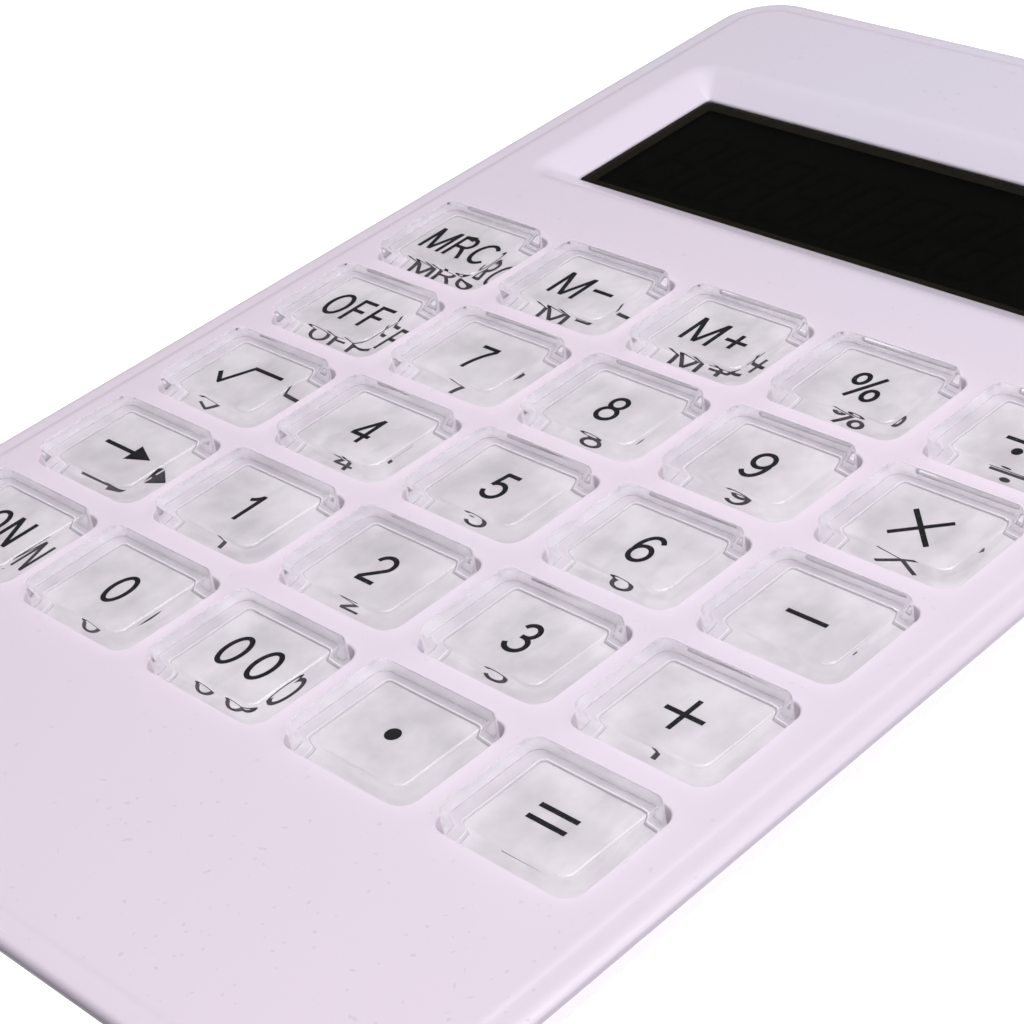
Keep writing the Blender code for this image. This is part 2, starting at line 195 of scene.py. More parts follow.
class Recipe:
    """One material: `node` adds any node, sets it up and joins its inputs."""

    def __init__(self, name):
        self.material = bpy.data.materials.new(name)
        self.material.use_nodes = True
        self.tree = self.material.node_tree
        self.tree.nodes.clear()
        self.output = self.tree.nodes.new("ShaderNodeOutputMaterial")
        self.place = self.node("ShaderNodeTexCoord", {}, {}, "Object")

    def node(self, kind, settings, inputs, output=0):
        made = self.tree.nodes.new(kind)
        for key, setting in settings.items():
            setattr(made, key, setting)
        pairs = inputs.items() if isinstance(inputs, dict) else enumerate(inputs)
        for key, given in pairs:
            if isinstance(given, Value):
                self.tree.links.new(given.socket, made.inputs[key])
            else:
                made.inputs[key].default_value = given
        return Value(self, made.outputs[output])

    def noise(self, per_mm, detail=3.0, roughness=0.5, place=None):
        """Cloudy pattern around 0.5 with so many blobs to a millimetre."""
        settings = {"Scale": per_mm / MM, "Detail": detail, "Roughness": roughness}
        return self.node("ShaderNodeTexNoise", {}, {"Vector": place or self.place, **settings})

    def stretched(self, along, factors):
        """The object's coordinates turned about Z and scaled, for patterns with a direction."""
        settings = {"Vector": self.place, "Rotation": (0.0, 0.0, math.radians(along)), "Scale": factors}
        return self.node("ShaderNodeMapping", {}, settings)

    def axis(self, name):
        """One of the object's coordinates, in millimetres."""
        return self.node("ShaderNodeSeparateXYZ", {}, {"Vector": self.place}, name) * (1 / MM)

    def blend(self, factor, first, second):
        """A colour between two colours, each given as a triple or as a colour from another node."""
        made = self.node("ShaderNodeMix", {"data_type": "RGBA"}, {"Factor": factor}, 2)
        node = made.socket.node
        for socket, given in ((node.inputs[6], first), (node.inputs[7], second)):
            if isinstance(given, Value):
                self.tree.links.new(given.socket, socket)
            else:
                socket.default_value = (*given, 1.0)
        return made

    def bump(self, height_mm):
        """A normal from a height in millimetres."""
        return self.node("ShaderNodeBump", {}, {"Height": height_mm, "Distance": MM, "Strength": 1.0})

    def finish(self, shader):
        self.tree.links.new(shader.socket, self.output.inputs["Surface"])
        return self.material

    def principled(self, **inputs):
        named = {key.replace("_", " "): given for key, given in inputs.items()}
        if isinstance(named["Base Color"], tuple):
            named["Base Color"] = (*named["Base Color"], 1.0)
        return self.node("ShaderNodeBsdfPrincipled", {}, named)

    def lets_lamps_through(self, shader):
        """Clear plastic that casts no black shadow: a lamp's ray passes it straight, a little dimmed."""
        shadow_ray = self.node("ShaderNodeLightPath", {}, {}, "Is Shadow Ray")
        straight = self.node("ShaderNodeBsdfTransparent", {}, {"Color": (0.85, 0.85, 0.85, 1.0)})
        return self.node("ShaderNodeMixShader", {}, [shadow_ray, shader, straight])


# %% [markdown]
# ## Finishes
#
# The case is injection-moulded plastic, white with a breath of lavender. Polished moulds leave a
# surface that is nearly mirror-smooth, yet it is never perfect: the colour drifts a little, there is a
# faint orange-peel ripple, and handling leaves hair scratches and specks of dust. Under the rim the
# colour is darkened with painted shade. Each is one pattern, and together they keep the highlights
# from looking computed. The painted shade needs to know where the rim is, so its underside, sides,
# ends and front are named, in millimetres.

# %% Case plastic
RIM_UNDERSIDE = 8.86
RIM_SIDES = 35.2
RIM_ENDS = 56.4
RIM_FRONT = -56.75


def case_plastic():
    r = Recipe("case_plastic")
    drift = r.noise(0.03, detail=2.0)
    peel = r.noise(0.9, detail=2.0)
    hairs = r.noise(1.1, detail=4.0, place=r.stretched(24.0, (0.035, 1.6, 1.0)))
    cross_hairs = r.noise(1.0, detail=4.0, place=r.stretched(-61.0, (0.04, 1.8, 1.0)))
    scratched = hairs.above(0.765, 0.04) + cross_hairs.above(0.76, 0.04)
    dust = r.noise(2.6, detail=0.0).above(0.815, 0.03)
    # The tone turns cooler, a little less red, towards the display end, with a slow random drift on top.
    display_end_and_drift = r.axis("Y").above(28.0, 45.0) * 0.6 + (drift - 0.5) * 1.4
    tone = r.blend(display_end_and_drift.clamp(0.0, 1.0), (0.735, 0.640, 0.740), (0.665, 0.632, 0.745))
    colour = r.blend(dust * 0.3, tone, (0.42, 0.38, 0.42))
    # Painted shade: below the rim's underside, along its sides and ends, the colour is darkened to a dark
    # violet.
    sideways = r.axis("X").math("ABSOLUTE").above(RIM_SIDES, 0.5)
    endways = r.axis("Y").math("ABSOLUTE").above(RIM_ENDS, 0.5)
    under = ((RIM_UNDERSIDE - r.axis("Z")) * 2.2).clamp(0.0, 1.0)
    painted_rim_shade = under * (sideways + endways).clamp(0.0, 1.0)
    colour = r.blend(painted_rim_shade * 0.8, colour, (0.20, 0.17, 0.225))
    # Painted shade: under the rim at the front end the colour goes almost black.
    near_edge = r.axis("Y").above(RIM_FRONT, -0.4)
    colour = r.blend(under * near_edge * 0.9, colour, (0.05, 0.04, 0.07))
    polish = 0.2 + drift * 0.08 + scratched * 0.06 + dust * 0.3
    relief = peel * 0.0035 - scratched * 0.0006 + dust * 0.008
    shader = r.principled(Base_Color=colour, Roughness=polish, IOR=1.49, Normal=r.bump(relief))
    return r.finish(shader)


# %% [markdown]
# Clear acrylic has no colour pattern to speak of. What makes it real is its refraction (1.49), its
# fine polish marks, and how lamps reach what lies behind it. A path tracer finds lamps through
# refracting glass only by luck, so the mix with a transparent shader lets lamp rays pass straight.

# %% Clear acrylic
def clear_acrylic(name, tint):
    r = Recipe(name)
    marks = r.noise(1.3, detail=4.0, place=r.stretched(37.0, (0.06, 1.5, 1.0))).above(0.66, 0.05)
    smear = r.noise(0.35, detail=2.0)
    polish = 0.006 + marks * 0.03 + smear.above(0.55, 0.25) * 0.012
    ripple = r.noise(0.5, detail=1.0) * 0.002
    shader = r.principled(
        Base_Color=tint, Roughness=polish, IOR=1.49, Transmission_Weight=1.0, Normal=r.bump(ripple)
    )
    return r.finish(r.lets_lamps_through(shader))


# %% Inks, films, rubbers and metals
FILM_LIP_FROM = 7.78


def printed_ink():
    """Screen-printed black: dense, slightly uneven, with a few pinholes."""
    r = Recipe("printed_ink")
    mottle = r.noise(3.0, detail=3.0)
    pinholes = r.noise(9.0, detail=0.0).above(0.80, 0.03)
    colour = r.blend(mottle, (0.006, 0.006, 0.008), (0.016, 0.015, 0.018))
    colour = r.blend(pinholes * 0.5, colour, (0.25, 0.24, 0.25))
    shader = r.principled(Base_Color=colour, Roughness=0.45 + mottle * 0.2, Specular_IOR_Level=0.1)
    return r.finish(shader)


def rubber(name, dark, light, grain_per_mm, polish):
    """Moulded rubber: a cloudy colour and a fine grain."""
    r = Recipe(name)
    cloud = r.noise(0.22, detail=3.0, roughness=0.6)
    grain = r.noise(grain_per_mm, detail=2.0)
    colour = r.blend(cloud.above(0.5, 0.45), dark, light)
    relief = grain * 0.012 + cloud * 0.02
    shader = r.principled(Base_Color=colour, Roughness=polish + grain * 0.15, Normal=r.bump(relief))
    return r.finish(shader)


def moulded_black(name, dark, light, shine=0.5):
    """Matt black with a spark-eroded grain."""
    r = Recipe(name)
    grain = r.noise(6.0, detail=2.0)
    cloud = r.noise(0.4, detail=2.0)
    colour = r.blend(cloud, dark, light)
    rough = 0.45 + grain * 0.2
    shader = r.principled(
        Base_Color=colour, Roughness=rough, Specular_IOR_Level=shine, Normal=r.bump(grain * 0.01)
    )
    return r.finish(shader)


def display_glass():
    """The dark polariser of a display that is switched off, with the faintest green."""
    r = Recipe("display_glass")
    cloud = r.noise(0.12, detail=2.0)
    fibres = r.noise(1.2, detail=3.0, place=r.stretched(0.0, (1.0, 0.1, 1.0)))
    colour = r.blend(cloud, (0.0022, 0.0027, 0.0016), (0.0042, 0.0048, 0.0030))
    shader = r.principled(
        Base_Color=colour,
        Roughness=0.3 + fibres * 0.06,
        Specular_IOR_Level=0.12,
        Normal=r.bump(fibres * 0.001),
    )
    return r.finish(shader)


def display_segments():
    """Unlit segments: a shade away from the glass round them."""
    r = Recipe("display_segments")
    cloud = r.noise(0.5, detail=2.0)
    colour = r.blend(cloud, (0.0015, 0.0015, 0.0020), (0.0030, 0.0028, 0.0035))
    shader = r.principled(Base_Color=colour, Roughness=0.3 + cloud * 0.1, Specular_IOR_Level=0.1)
    return r.finish(shader)


def carrier_plastic():
    """The carrier's own plastic, a little darker and violet where it shows round the backing."""
    r = Recipe("carrier_plastic")
    cloud = r.noise(0.3, detail=2.0)
    grain = r.noise(4.0, detail=2.0)
    colour = r.blend(cloud.above(0.5, 0.4), (0.415, 0.380, 0.430), (0.500, 0.462, 0.515))
    shader = r.principled(Base_Color=colour, Roughness=0.4 + grain * 0.15, Normal=r.bump(grain * 0.004))
    return r.finish(shader)


def backing_film():
    """Pale film behind a legend: cloudy where the bond is thicker, with a painted highlight that colours its
    raised lip whiter.
    """
    r = Recipe("backing_film")
    cloud = r.noise(0.28, detail=3.0, roughness=0.6)
    crease = r.noise(0.7, detail=2.0, place=r.stretched(30.0, (1.0, 0.35, 1.0)))
    colour = r.blend(cloud.above(0.5, 0.34), (0.440, 0.408, 0.445), (0.560, 0.525, 0.568))
    colour = r.blend(crease.above(0.62, 0.12) * 0.2, colour, (0.33, 0.31, 0.34))
    # Painted highlight: from FILM_LIP_FROM up, the raised lip is coloured paler than the film.
    lip = r.axis("Z").above(FILM_LIP_FROM, 0.02)
    colour = r.blend(lip, colour, (0.66, 0.63, 0.68))
    shader = r.principled(Base_Color=colour, Roughness=0.45 + cloud * 0.2, Normal=r.bump(cloud * 0.004))
    return r.finish(shader)


def metal(name, dark, light, polish, grain):
    """Rolled or stamped metal: a fine grain one way, and a slow tarnish that dulls where it is strong."""
    r = Recipe(name)
    brushed = r.noise(1.5, detail=3.0, place=r.stretched(15.0, (0.08, grain, 1.0)))
    tarnish = r.noise(0.25, detail=3.0, roughness=0.6)
    colour = r.blend(tarnish.above(0.5, 0.4), dark, light)
    rough = polish + brushed * 0.16 + tarnish.above(0.62, 0.2) * 0.12
    shader = r.principled(Base_Color=colour, Metallic=1.0, Roughness=rough, Normal=r.bump(brushed * 0.004))
    return r.finish(shader)


def board_laminate():
    """Green solder mask over woven glass: the weave shows as a fine square ripple."""
    r = Recipe("board_laminate")
    weave = (r.axis("Y") * 9.0).math("SINE") * (r.axis("X") * 9.0).math("SINE")
    cloud = r.noise(0.2, detail=3.0)
    colour = r.blend(cloud, (0.010, 0.085, 0.035), (0.018, 0.135, 0.055))
    relief = weave * 0.003 + cloud * 0.01
    shader = r.principled(Base_Color=colour, Roughness=0.32 + cloud * 0.15, Normal=r.bump(relief))
    return r.finish(shader)


def fired_ceramic():
    r = Recipe("fired_ceramic")
    grain = r.noise(5.0, detail=3.0)
    colour = r.blend(grain, (0.23, 0.13, 0.06), (0.36, 0.22, 0.11))
    shader = r.principled(Base_Color=colour, Roughness=0.4 + grain * 0.2, Normal=r.bump(grain * 0.008))
    return r.finish(shader)


PLASTIC = case_plastic()
CARRIER = carrier_plastic()
FILM = backing_film()
ACRYLIC = clear_acrylic("key_acrylic", (0.985, 0.985, 0.985))
WINDOW = clear_acrylic("window_acrylic", (0.42, 0.43, 0.40))
INK = printed_ink()
SILICONE = rubber("grey_silicone", (0.56, 0.555, 0.565), (0.70, 0.69, 0.70), 4.0, 0.45)
FOOT = rubber("foot_rubber", (0.018, 0.018, 0.018), (0.035, 0.034, 0.033), 5.0, 0.65)
BLACK = moulded_black("moulded_black", (0.010, 0.010, 0.011), (0.022, 0.021, 0.021))
BORDER = moulded_black("border_ink", (0.009, 0.007, 0.005), (0.019, 0.015, 0.010), 0.1)
GLASS = display_glass()
SEGMENT = display_segments()
BOARD = board_laminate()
CERAMIC = fired_ceramic()
STEEL = metal("cell_steel", (0.50, 0.49, 0.48), (0.66, 0.65, 0.64), 0.22, 2.0)
SCREW = metal("screw_steel", (0.42, 0.42, 0.43), (0.58, 0.57, 0.57), 0.28, 1.2)
NICKEL = metal("contact_nickel", (0.52, 0.47, 0.38), (0.66, 0.61, 0.52), 0.25, 1.6)
GOLD = metal("pad_gold", (0.62, 0.42, 0.16), (0.76, 0.55, 0.24), 0.25, 1.4)
EPOXY = rubber("black_epoxy", (0.008, 0.008, 0.009), (0.018, 0.018, 0.018), 3.0, 0.22)
ZEBRA = rubber("pink_grey_rubber", (0.30, 0.26, 0.27), (0.42, 0.38, 0.39), 4.0, 0.5)
print(len(bpy.data.materials), "materials")

# %% [markdown]
# ## Building with rings
#
# Nearly everything here is a rounded rectangle or a circle that changes size as it rises. So one
# tool does most of the modelling: rings of points joined by quads. A flat face with holes in it, such
# as the key face, is filled between its rims in one go. Each hole first gets a narrow flat collar,
# so that the soft edge beside it can't tilt the shading of the big flat face.

# %% Outlines and rings
def rectangle(width, length, radius, centre=(0.0, 0.0), steps=8):
    """Anticlockwise corners of a rounded rectangle, in millimetres."""
    points = []
    for quarter, (sx, sy) in enumerate(((1, 1), (-1, 1), (-1, -1), (1, -1))):
        middle = Vector(centre) + Vector((sx * (width / 2 - radius), sy * (length / 2 - radius)))
        for step in range(steps + 1):
            turn = math.radians(90 * (quarter + step / steps))
            points.append((middle.x + radius * math.cos(turn), middle.y + radius * math.sin(turn)))
    return points


def circle(radius, centre=(0.0, 0.0), steps=48):
    turns = [2 * math.pi * step / steps for step in range(steps)]
    return [(centre[0] + radius * math.cos(a), centre[1] + radius * math.sin(a)) for a in turns]


def fillet(start, corner, end, steps=5):
    """Points of a soft corner in a section: a quadratic curve from start to end, pulled to the corner."""
    points = []
    for step in range(steps + 1):
        t = step / steps
        pulls = (1 - t) ** 2, 2 * t * (1 - t), t**2
        points.append(tuple(sum(p * c for p, c in zip(pulls, axis)) for axis in zip(start, corner, end)))
    return points


class Shell:
    """A mesh in the making: rings, the skins between them, and flat fills."""

    def __init__(self):
        self.mesh = bmesh.new()

    def ring(self, outline, height):
        return [self.mesh.verts.new((x * MM, y * MM, height * MM)) for x, y in outline]

    def skin(self, rings):
        for low, high in zip(rings, rings[1:]):
            for i, corner in enumerate(low):
                j = (i + 1) % len(low)
                self.mesh.faces.new((corner, low[j], high[j], high[i]))
        return rings

    def sweep(self, outline_at, section):
        """Skins along a list of (grow, height), a ring of outline_at(grow) at each; returns the end rings."""
        rings = self.skin([self.ring(outline_at(grow), height) for grow, height in section])
        return rings[0], rings[-1]

    def close(self, *rings):
        for ring in rings:
            self.mesh.faces.new(ring)

    def solid(self, outline_at, section):
        """A sweep with both ends closed."""
        self.close(*self.sweep(outline_at, section))

    def prism(self, outline, low, high):
        self.solid(lambda grow: outline, ((0.0, low), (0.0, high)))

    def hoop(self, outline_at, section):
        """A sweep whose section comes back to its start."""
        rings = [self.ring(outline_at(grow), height) for grow, height in section]
        self.skin(rings + [rings[0]])

    def fill(self, rings):
        """Triangles between the outer ring and the rings of the holes in it, all at one height."""
        pairs = [pair for ring in rings for pair in zip(ring, ring[1:] + ring[:1])]
        edges = [self.mesh.edges.get(pair) or self.mesh.edges.new(pair) for pair in pairs]
        bmesh.ops.triangle_fill(self.mesh, edges=edges, use_beauty=True, normal=(0, 0, 1))

    def object(self, name, material, angle=40.0, offset=(0.0, 0.0)):
        """The finished piece, its origin at the frame's: faces outwards, smooth but for sharp edges."""
        bmesh.ops.recalc_face_normals(self.mesh, faces=self.mesh.faces)
        data = bpy.data.meshes.new(name)
        self.mesh.to_mesh(data)
        self.mesh.free()
        data.transform(Matrix.Translation((offset[0] * MM, offset[1] * MM, 0)))
        data.shade_smooth()
        data.set_sharp_from_angle(angle=math.radians(angle))
        return piece(name, data, material)


def piece(name, data, material):
    data.materials.clear()
    data.materials.append(material)
    made = bpy.data.objects.new(name, data)
    bpy.context.scene.collection.objects.link(made)
    return made


def copied(source, name, offset):
    """A copy of a piece with the move written into its mesh, in millimetres."""
    data = source.data.copy()
    data.name = name
    data.transform(Matrix.Translation((offset[0] * MM, offset[1] * MM, 0)))
    return piece(name, data, source.data.materials[0])


def settle(made, body, slot, *nodes):
    """Ties a piece to its body and hides the parts of the frame that it stands for; its slot is not used."""
    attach(made, body)
    if nodes:
        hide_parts(*nodes)
    return made


# %% [markdown]
# ## Sizes from the frame
#
# Each part's box in the frame gives its sizes, so nothing has to be typed twice. What a box can't
# say, such as a corner's radius, is named here.

# %% Sizes
def size_of(node):
    """Width, length, centre (x, y), bottom and top of a part, in millimetres."""
    low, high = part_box(node)
    span = (high - low) / MM
    middle = (high + low) / (2 * MM)
    return span.x, span.y, (middle.x, middle.y), low.z / MM, high.z / MM


KEYS = [name for name in frame["nodes"] if name.startswith("key_")]
key_x = sorted({round(size_of(name)[2][0], 2) for name in KEYS})
key_y = sorted({round(size_of(name)[2][1], 2) for name in KEYS}, reverse=True)
FLANGE = 0.5
FLANGE_THICK = 0.6
KEY_WIDTH = size_of("key_5")[0] - 2 * FLANGE
KEY_DEPTH = size_of("key_5")[1] - 2 * FLANGE
KEY_BOTTOM, KEY_TOP = size_of("key_5")[3:]
KEY_CORNER = 0.9
GAP = 0.3
PARTING = cover_low.z / MM
CEILING = 7.6
COVER_WALL = 3.3
CORNER = 5.0
RIM_LOW = 8.3
TAPER_X = 1.19
TAPER_Y = 0.97
SURROUND_BOTTOM = 6.4
LENS_WIDTH, LENS_HEIGHT, LENS_CENTRE, LENS_BOTTOM, LENS_TOP = size_of("display_window")
WINDOW_WIDTH = LENS_WIDTH + 2 * GAP
WINDOW_HEIGHT = LENS_HEIGHT + 2 * GAP
CASE_SCREWS = [name for name in frame["nodes"] if name.startswith("case_screw")]
BOARD_SCREWS = [name for name in frame["nodes"] if name.startswith("board_screw")]
FEET = [name for name in frame["nodes"] if name.startswith("foot_")]
print(f"{len(KEYS)} keys of {KEY_WIDTH:.2f} x {KEY_DEPTH:.2f} mm, {len(key_x)} columns, {len(key_y)} rows")

# %% [markdown]
# ## Front shell
#
# The real shell is one moulding: a flat face inside a shallow ledge, a thin rounded rim, an opening
# for each key and a bevelled well for the display. It could be a block with cuts, but cuts leave hard
# edges that a bevel modifier handles badly where many meet. Here every rim is swept with its own soft
# section instead, and the flat faces are filled between them.

# %% Front shell
LEDGE_INSET = 2.1
LEDGE_DROP = 0.10
RIM_RUN = 1.0
RIM_DROP = 0.5
COLLAR = 0.25
BEVEL_WIDTH = 2.7
BEVEL_DEPTH = 1.4
WINDOW_CORNER = 0.4
SURROUND_WALL = 1.2
CASE_BOSS = (2.5, 1.05)
BOARD_BOSS = (1.9, 0.95)
BOSS_REACH = 3.2


def case_ring(grow):
    """The case's outline, grown outwards or, with a negative number, inwards."""
    return rectangle(BODY_WIDTH + 2 * grow, BODY_LENGTH + 2 * grow, max(CORNER + grow, 1.0), steps=12)


def leaning_ring(height, extra, radius):
    """The outline at a height under the rim, where the sides lean in at once."""
    fall = RIM_LOW - height
    size = (BODY_WIDTH - 2 * (fall * TAPER_X + extra), BODY_LENGTH - 2 * (fall * TAPER_Y + extra))
    return rectangle(*size, radius, steps=12)


def window_ring(grow):
    corner = WINDOW_CORNER + 0.6 * max(grow, 0.0)
    return rectangle(WINDOW_WIDTH + 2 * grow, WINDOW_HEIGHT + 2 * grow, corner, LENS_CENTRE)


def rim_section():
    """From the flat face over the ledge and round the thin rim."""
    border = CASE_TOP - LEDGE_DROP
    edge = -LEDGE_INSET
    points = [(edge - 0.9, CASE_TOP), (edge - 0.45, CASE_TOP)]
    points += fillet((edge - 0.30, CASE_TOP), (edge - 0.02, CASE_TOP), (edge + 0.16, CASE_TOP - 0.05), 5)
    points += fillet((edge + 0.24, border + 0.03), (edge + 0.38, border), (edge + 0.6, border), 5)
    points.append((-RIM_RUN - 0.15, border))
    for step in range(13):
        turn = math.radians(90 * step / 12)
        points.append((RIM_RUN * (math.sin(turn) - 1), border - RIM_DROP * (1 - math.cos(turn))))
    return points + [(-0.02, RIM_LOW + 0.02), (-0.1, RIM_LOW - 0.06)]


def front_shell():
    shell = Shell()
    face, rim = shell.sweep(case_ring, rim_section())
    sides = [rim]
    for height, radius in ((RIM_LOW - 0.15, 4.8), (PARTING + 0.08, 3.5), (PARTING, 3.4)):
        sides.append(shell.ring(leaning_ring(height, 0.0, radius), height))
    hollow = rectangle(BODY_WIDTH - 2 * COVER_WALL, BODY_LENGTH - 2 * COVER_WALL, 2.0, steps=12)
    inner = shell.skin(sides + [shell.ring(hollow, PARTING), shell.ring(hollow, CEILING)])[-1]
    face_rims, ceiling_rims = [face], [inner]

    def opening(x, y):
        return lambda grow: rectangle(KEY_WIDTH + 2 * grow, KEY_DEPTH + 2 * grow, KEY_CORNER + grow, (x, y))

    for y in key_y:
        for x in key_x:
            section = [(GAP + 0.18 + COLLAR, CASE_TOP)]
            section += fillet((GAP + 0.18, CASE_TOP), (GAP, CASE_TOP), (GAP, CASE_TOP - 0.18), 4)
            section += [(GAP, CEILING)]
            top, bottom = shell.sweep(opening(x, y), section)
            face_rims.append(top)
            ceiling_rims.append(bottom)

    well = [(BEVEL_WIDTH + 0.9, CASE_TOP)]
    brow = (BEVEL_WIDTH + 0.6, CASE_TOP), (BEVEL_WIDTH, CASE_TOP), (BEVEL_WIDTH - 0.6, CASE_TOP - 0.31)
    well += fillet(*brow, 6)
    floor = CASE_TOP - BEVEL_DEPTH
    well += fillet((0.22, floor + 0.114), (0.0, floor), (0.0, floor - 0.15), 4)
    outside = BEVEL_WIDTH + SURROUND_WALL
    well += [(0.0, SURROUND_BOTTOM), (outside, SURROUND_BOTTOM), (outside, CEILING)]
    top, bottom = shell.sweep(window_ring, well)
    face_rims.append(top)
    ceiling_rims.append(bottom)

    for name in CASE_SCREWS + BOARD_SCREWS:
        tall = name in CASE_SCREWS
        _, _, place, _, tip = size_of(name)
        outer, bore = CASE_BOSS if tall else BOARD_BOSS
        foot = PARTING - BOSS_REACH if tall else size_of("circuit_board")[4] + GAP
        section = [(outer, CEILING), (outer, foot), (bore, foot), (bore, tip + 0.4), (0.05, tip + 0.5)]
        top, bottom = shell.sweep(lambda radius, place=place: circle(radius, place, 24), section)
        shell.close(bottom)
        ceiling_rims.append(top)

    shell.fill(face_rims)
    shell.fill(ceiling_rims)
    return shell.object("front_shell", PLASTIC, 50.0)


shell = settle(front_shell(), "case", "case_white", "top_cover")
print("front shell:", len(shell.data.polygons), "faces")

# %% [markdown]
# ## Clear keys
#
# Each key is a cap of polished acrylic bonded to a pale carrier, and the legend is printed between
# the two. So the legend is seen through the whole cap: straight down through the top, and again, bent
# and flattened, through the front and side walls. Nothing has to be faked for that, as long as the cap
# is a closed solid with soft edges, and the carrier and the ink touch it. A real bond has no air in it,
# and air would mirror the legend away. So both stand a hair inside the acrylic's skin.

# %% A cap and its carrier, swept from sections
POCKET = 1.0
EDGE = 0.32
LEGEND_HEIGHT = KEY_TOP - 2.4
BOND = 0.02
FILM_THICK = 0.01
FILM_SIDE = 1.25
FILM_END = 0.75


def key_ring(grow):
    return rectangle(KEY_WIDTH + 2 * grow, KEY_DEPTH + 2 * grow, max(KEY_CORNER + grow, 0.35))


def pocket_ring(grow):
    size = (KEY_WIDTH - 2 * POCKET + 2 * grow, KEY_DEPTH - 2 * POCKET + 2 * grow)
    return rectangle(*size, 0.6 + min(grow, 0.0))


def clear_cap():
    shell = Shell()
    section = [(-EDGE - 0.12, KEY_TOP)]
    section += fillet((-EDGE, KEY_TOP), (-0.02, KEY_TOP), (0.0, KEY_TOP - EDGE), 7)
    section += fillet((0.0, LEGEND_HEIGHT + 0.06), (0.0, LEGEND_HEIGHT), (-0.06, LEGEND_HEIGHT), 3)
    shell.solid(key_ring, section)
    return shell.object("clear_cap", ACRYLIC, 60.0)


def carrier():
    """The pale part under the cap: a plate, a skirt round the pocket for the rubber, and a flange."""
    shell = Shell()
    shoulder = KEY_BOTTOM + FLANGE_THICK
    section = [(-0.02, LEGEND_HEIGHT + BOND), (-0.02, shoulder)]
    section += fillet((FLANGE - 0.1, shoulder), (FLANGE, shoulder), (FLANGE, shoulder - 0.1), 3)
    section += fillet((FLANGE, KEY_BOTTOM + 0.1), (FLANGE, KEY_BOTTOM), (FLANGE - 0.1, KEY_BOTTOM), 3)
    plate, base = shell.sweep(key_ring, section)
    shell.close(plate)
    pocket = fillet((0.08, KEY_BOTTOM), (0.0, KEY_BOTTOM), (0.0, KEY_BOTTOM + 0.08), 3)
    pocket += [(0.0, LEGEND_HEIGHT - 0.2)]
    mouth, ceiling = shell.sweep(pocket_ring, pocket)
    shell.skin([base, mouth])
    shell.close(ceiling)
    return shell.object("carrier", CARRIER, 40.0)


def film_ring(grow):
    size = (KEY_WIDTH - 2 * FILM_SIDE + 2 * grow, KEY_DEPTH - 2 * FILM_END + 2 * grow)
    return rectangle(*size, 0.3 + max(grow, 0.0), steps=4)


def film():
    """The pale backing between cap and carrier, with the raised lip that holds it in place."""
    shell = Shell()
    low = LEGEND_HEIGHT + BOND + 0.001
    shell.solid(film_ring, [(0.01, low), (0.01, low + FILM_THICK)])
    lip = ((0.02, 0.0), (0.03, 0.16), (0.08, 0.24), (0.14, 0.24), (0.19, 0.16), (0.2, 0.0))
    shell.hoop(film_ring, [(grow, low + up) for grow, up in lip])
    return shell.object("film", FILM, 50.0)


masters = {"clear_": clear_cap(), "carrier_": carrier(), "film_": film()}
for name in KEYS:
    for prefix, master in masters.items():
        made = copied(master, prefix + name[4:], size_of(name)[2])
        settle(made, name, "key_clear", name)
for master in masters.values():
    bpy.data.objects.remove(master)

# %% [markdown]
# ## Legends
#
# The letters are a plain grotesque of even weight, so a glyph is only the centre line of its strokes.
# Drawing each as lines and arcs in a box one unit high, and then laying a ribbon along them, keeps the
# weight the same on every key and needs no font. The ribbons are thin slabs, like a real film of ink.

# %% Strokes
def arc(cx, cy, rx, ry, start, end, steps=20):
    turns = [math.radians(start + (end - start) * step / steps) for step in range(steps + 1)]
    return [(cx + rx * math.cos(a), cy + ry * math.sin(a)) for a in turns]


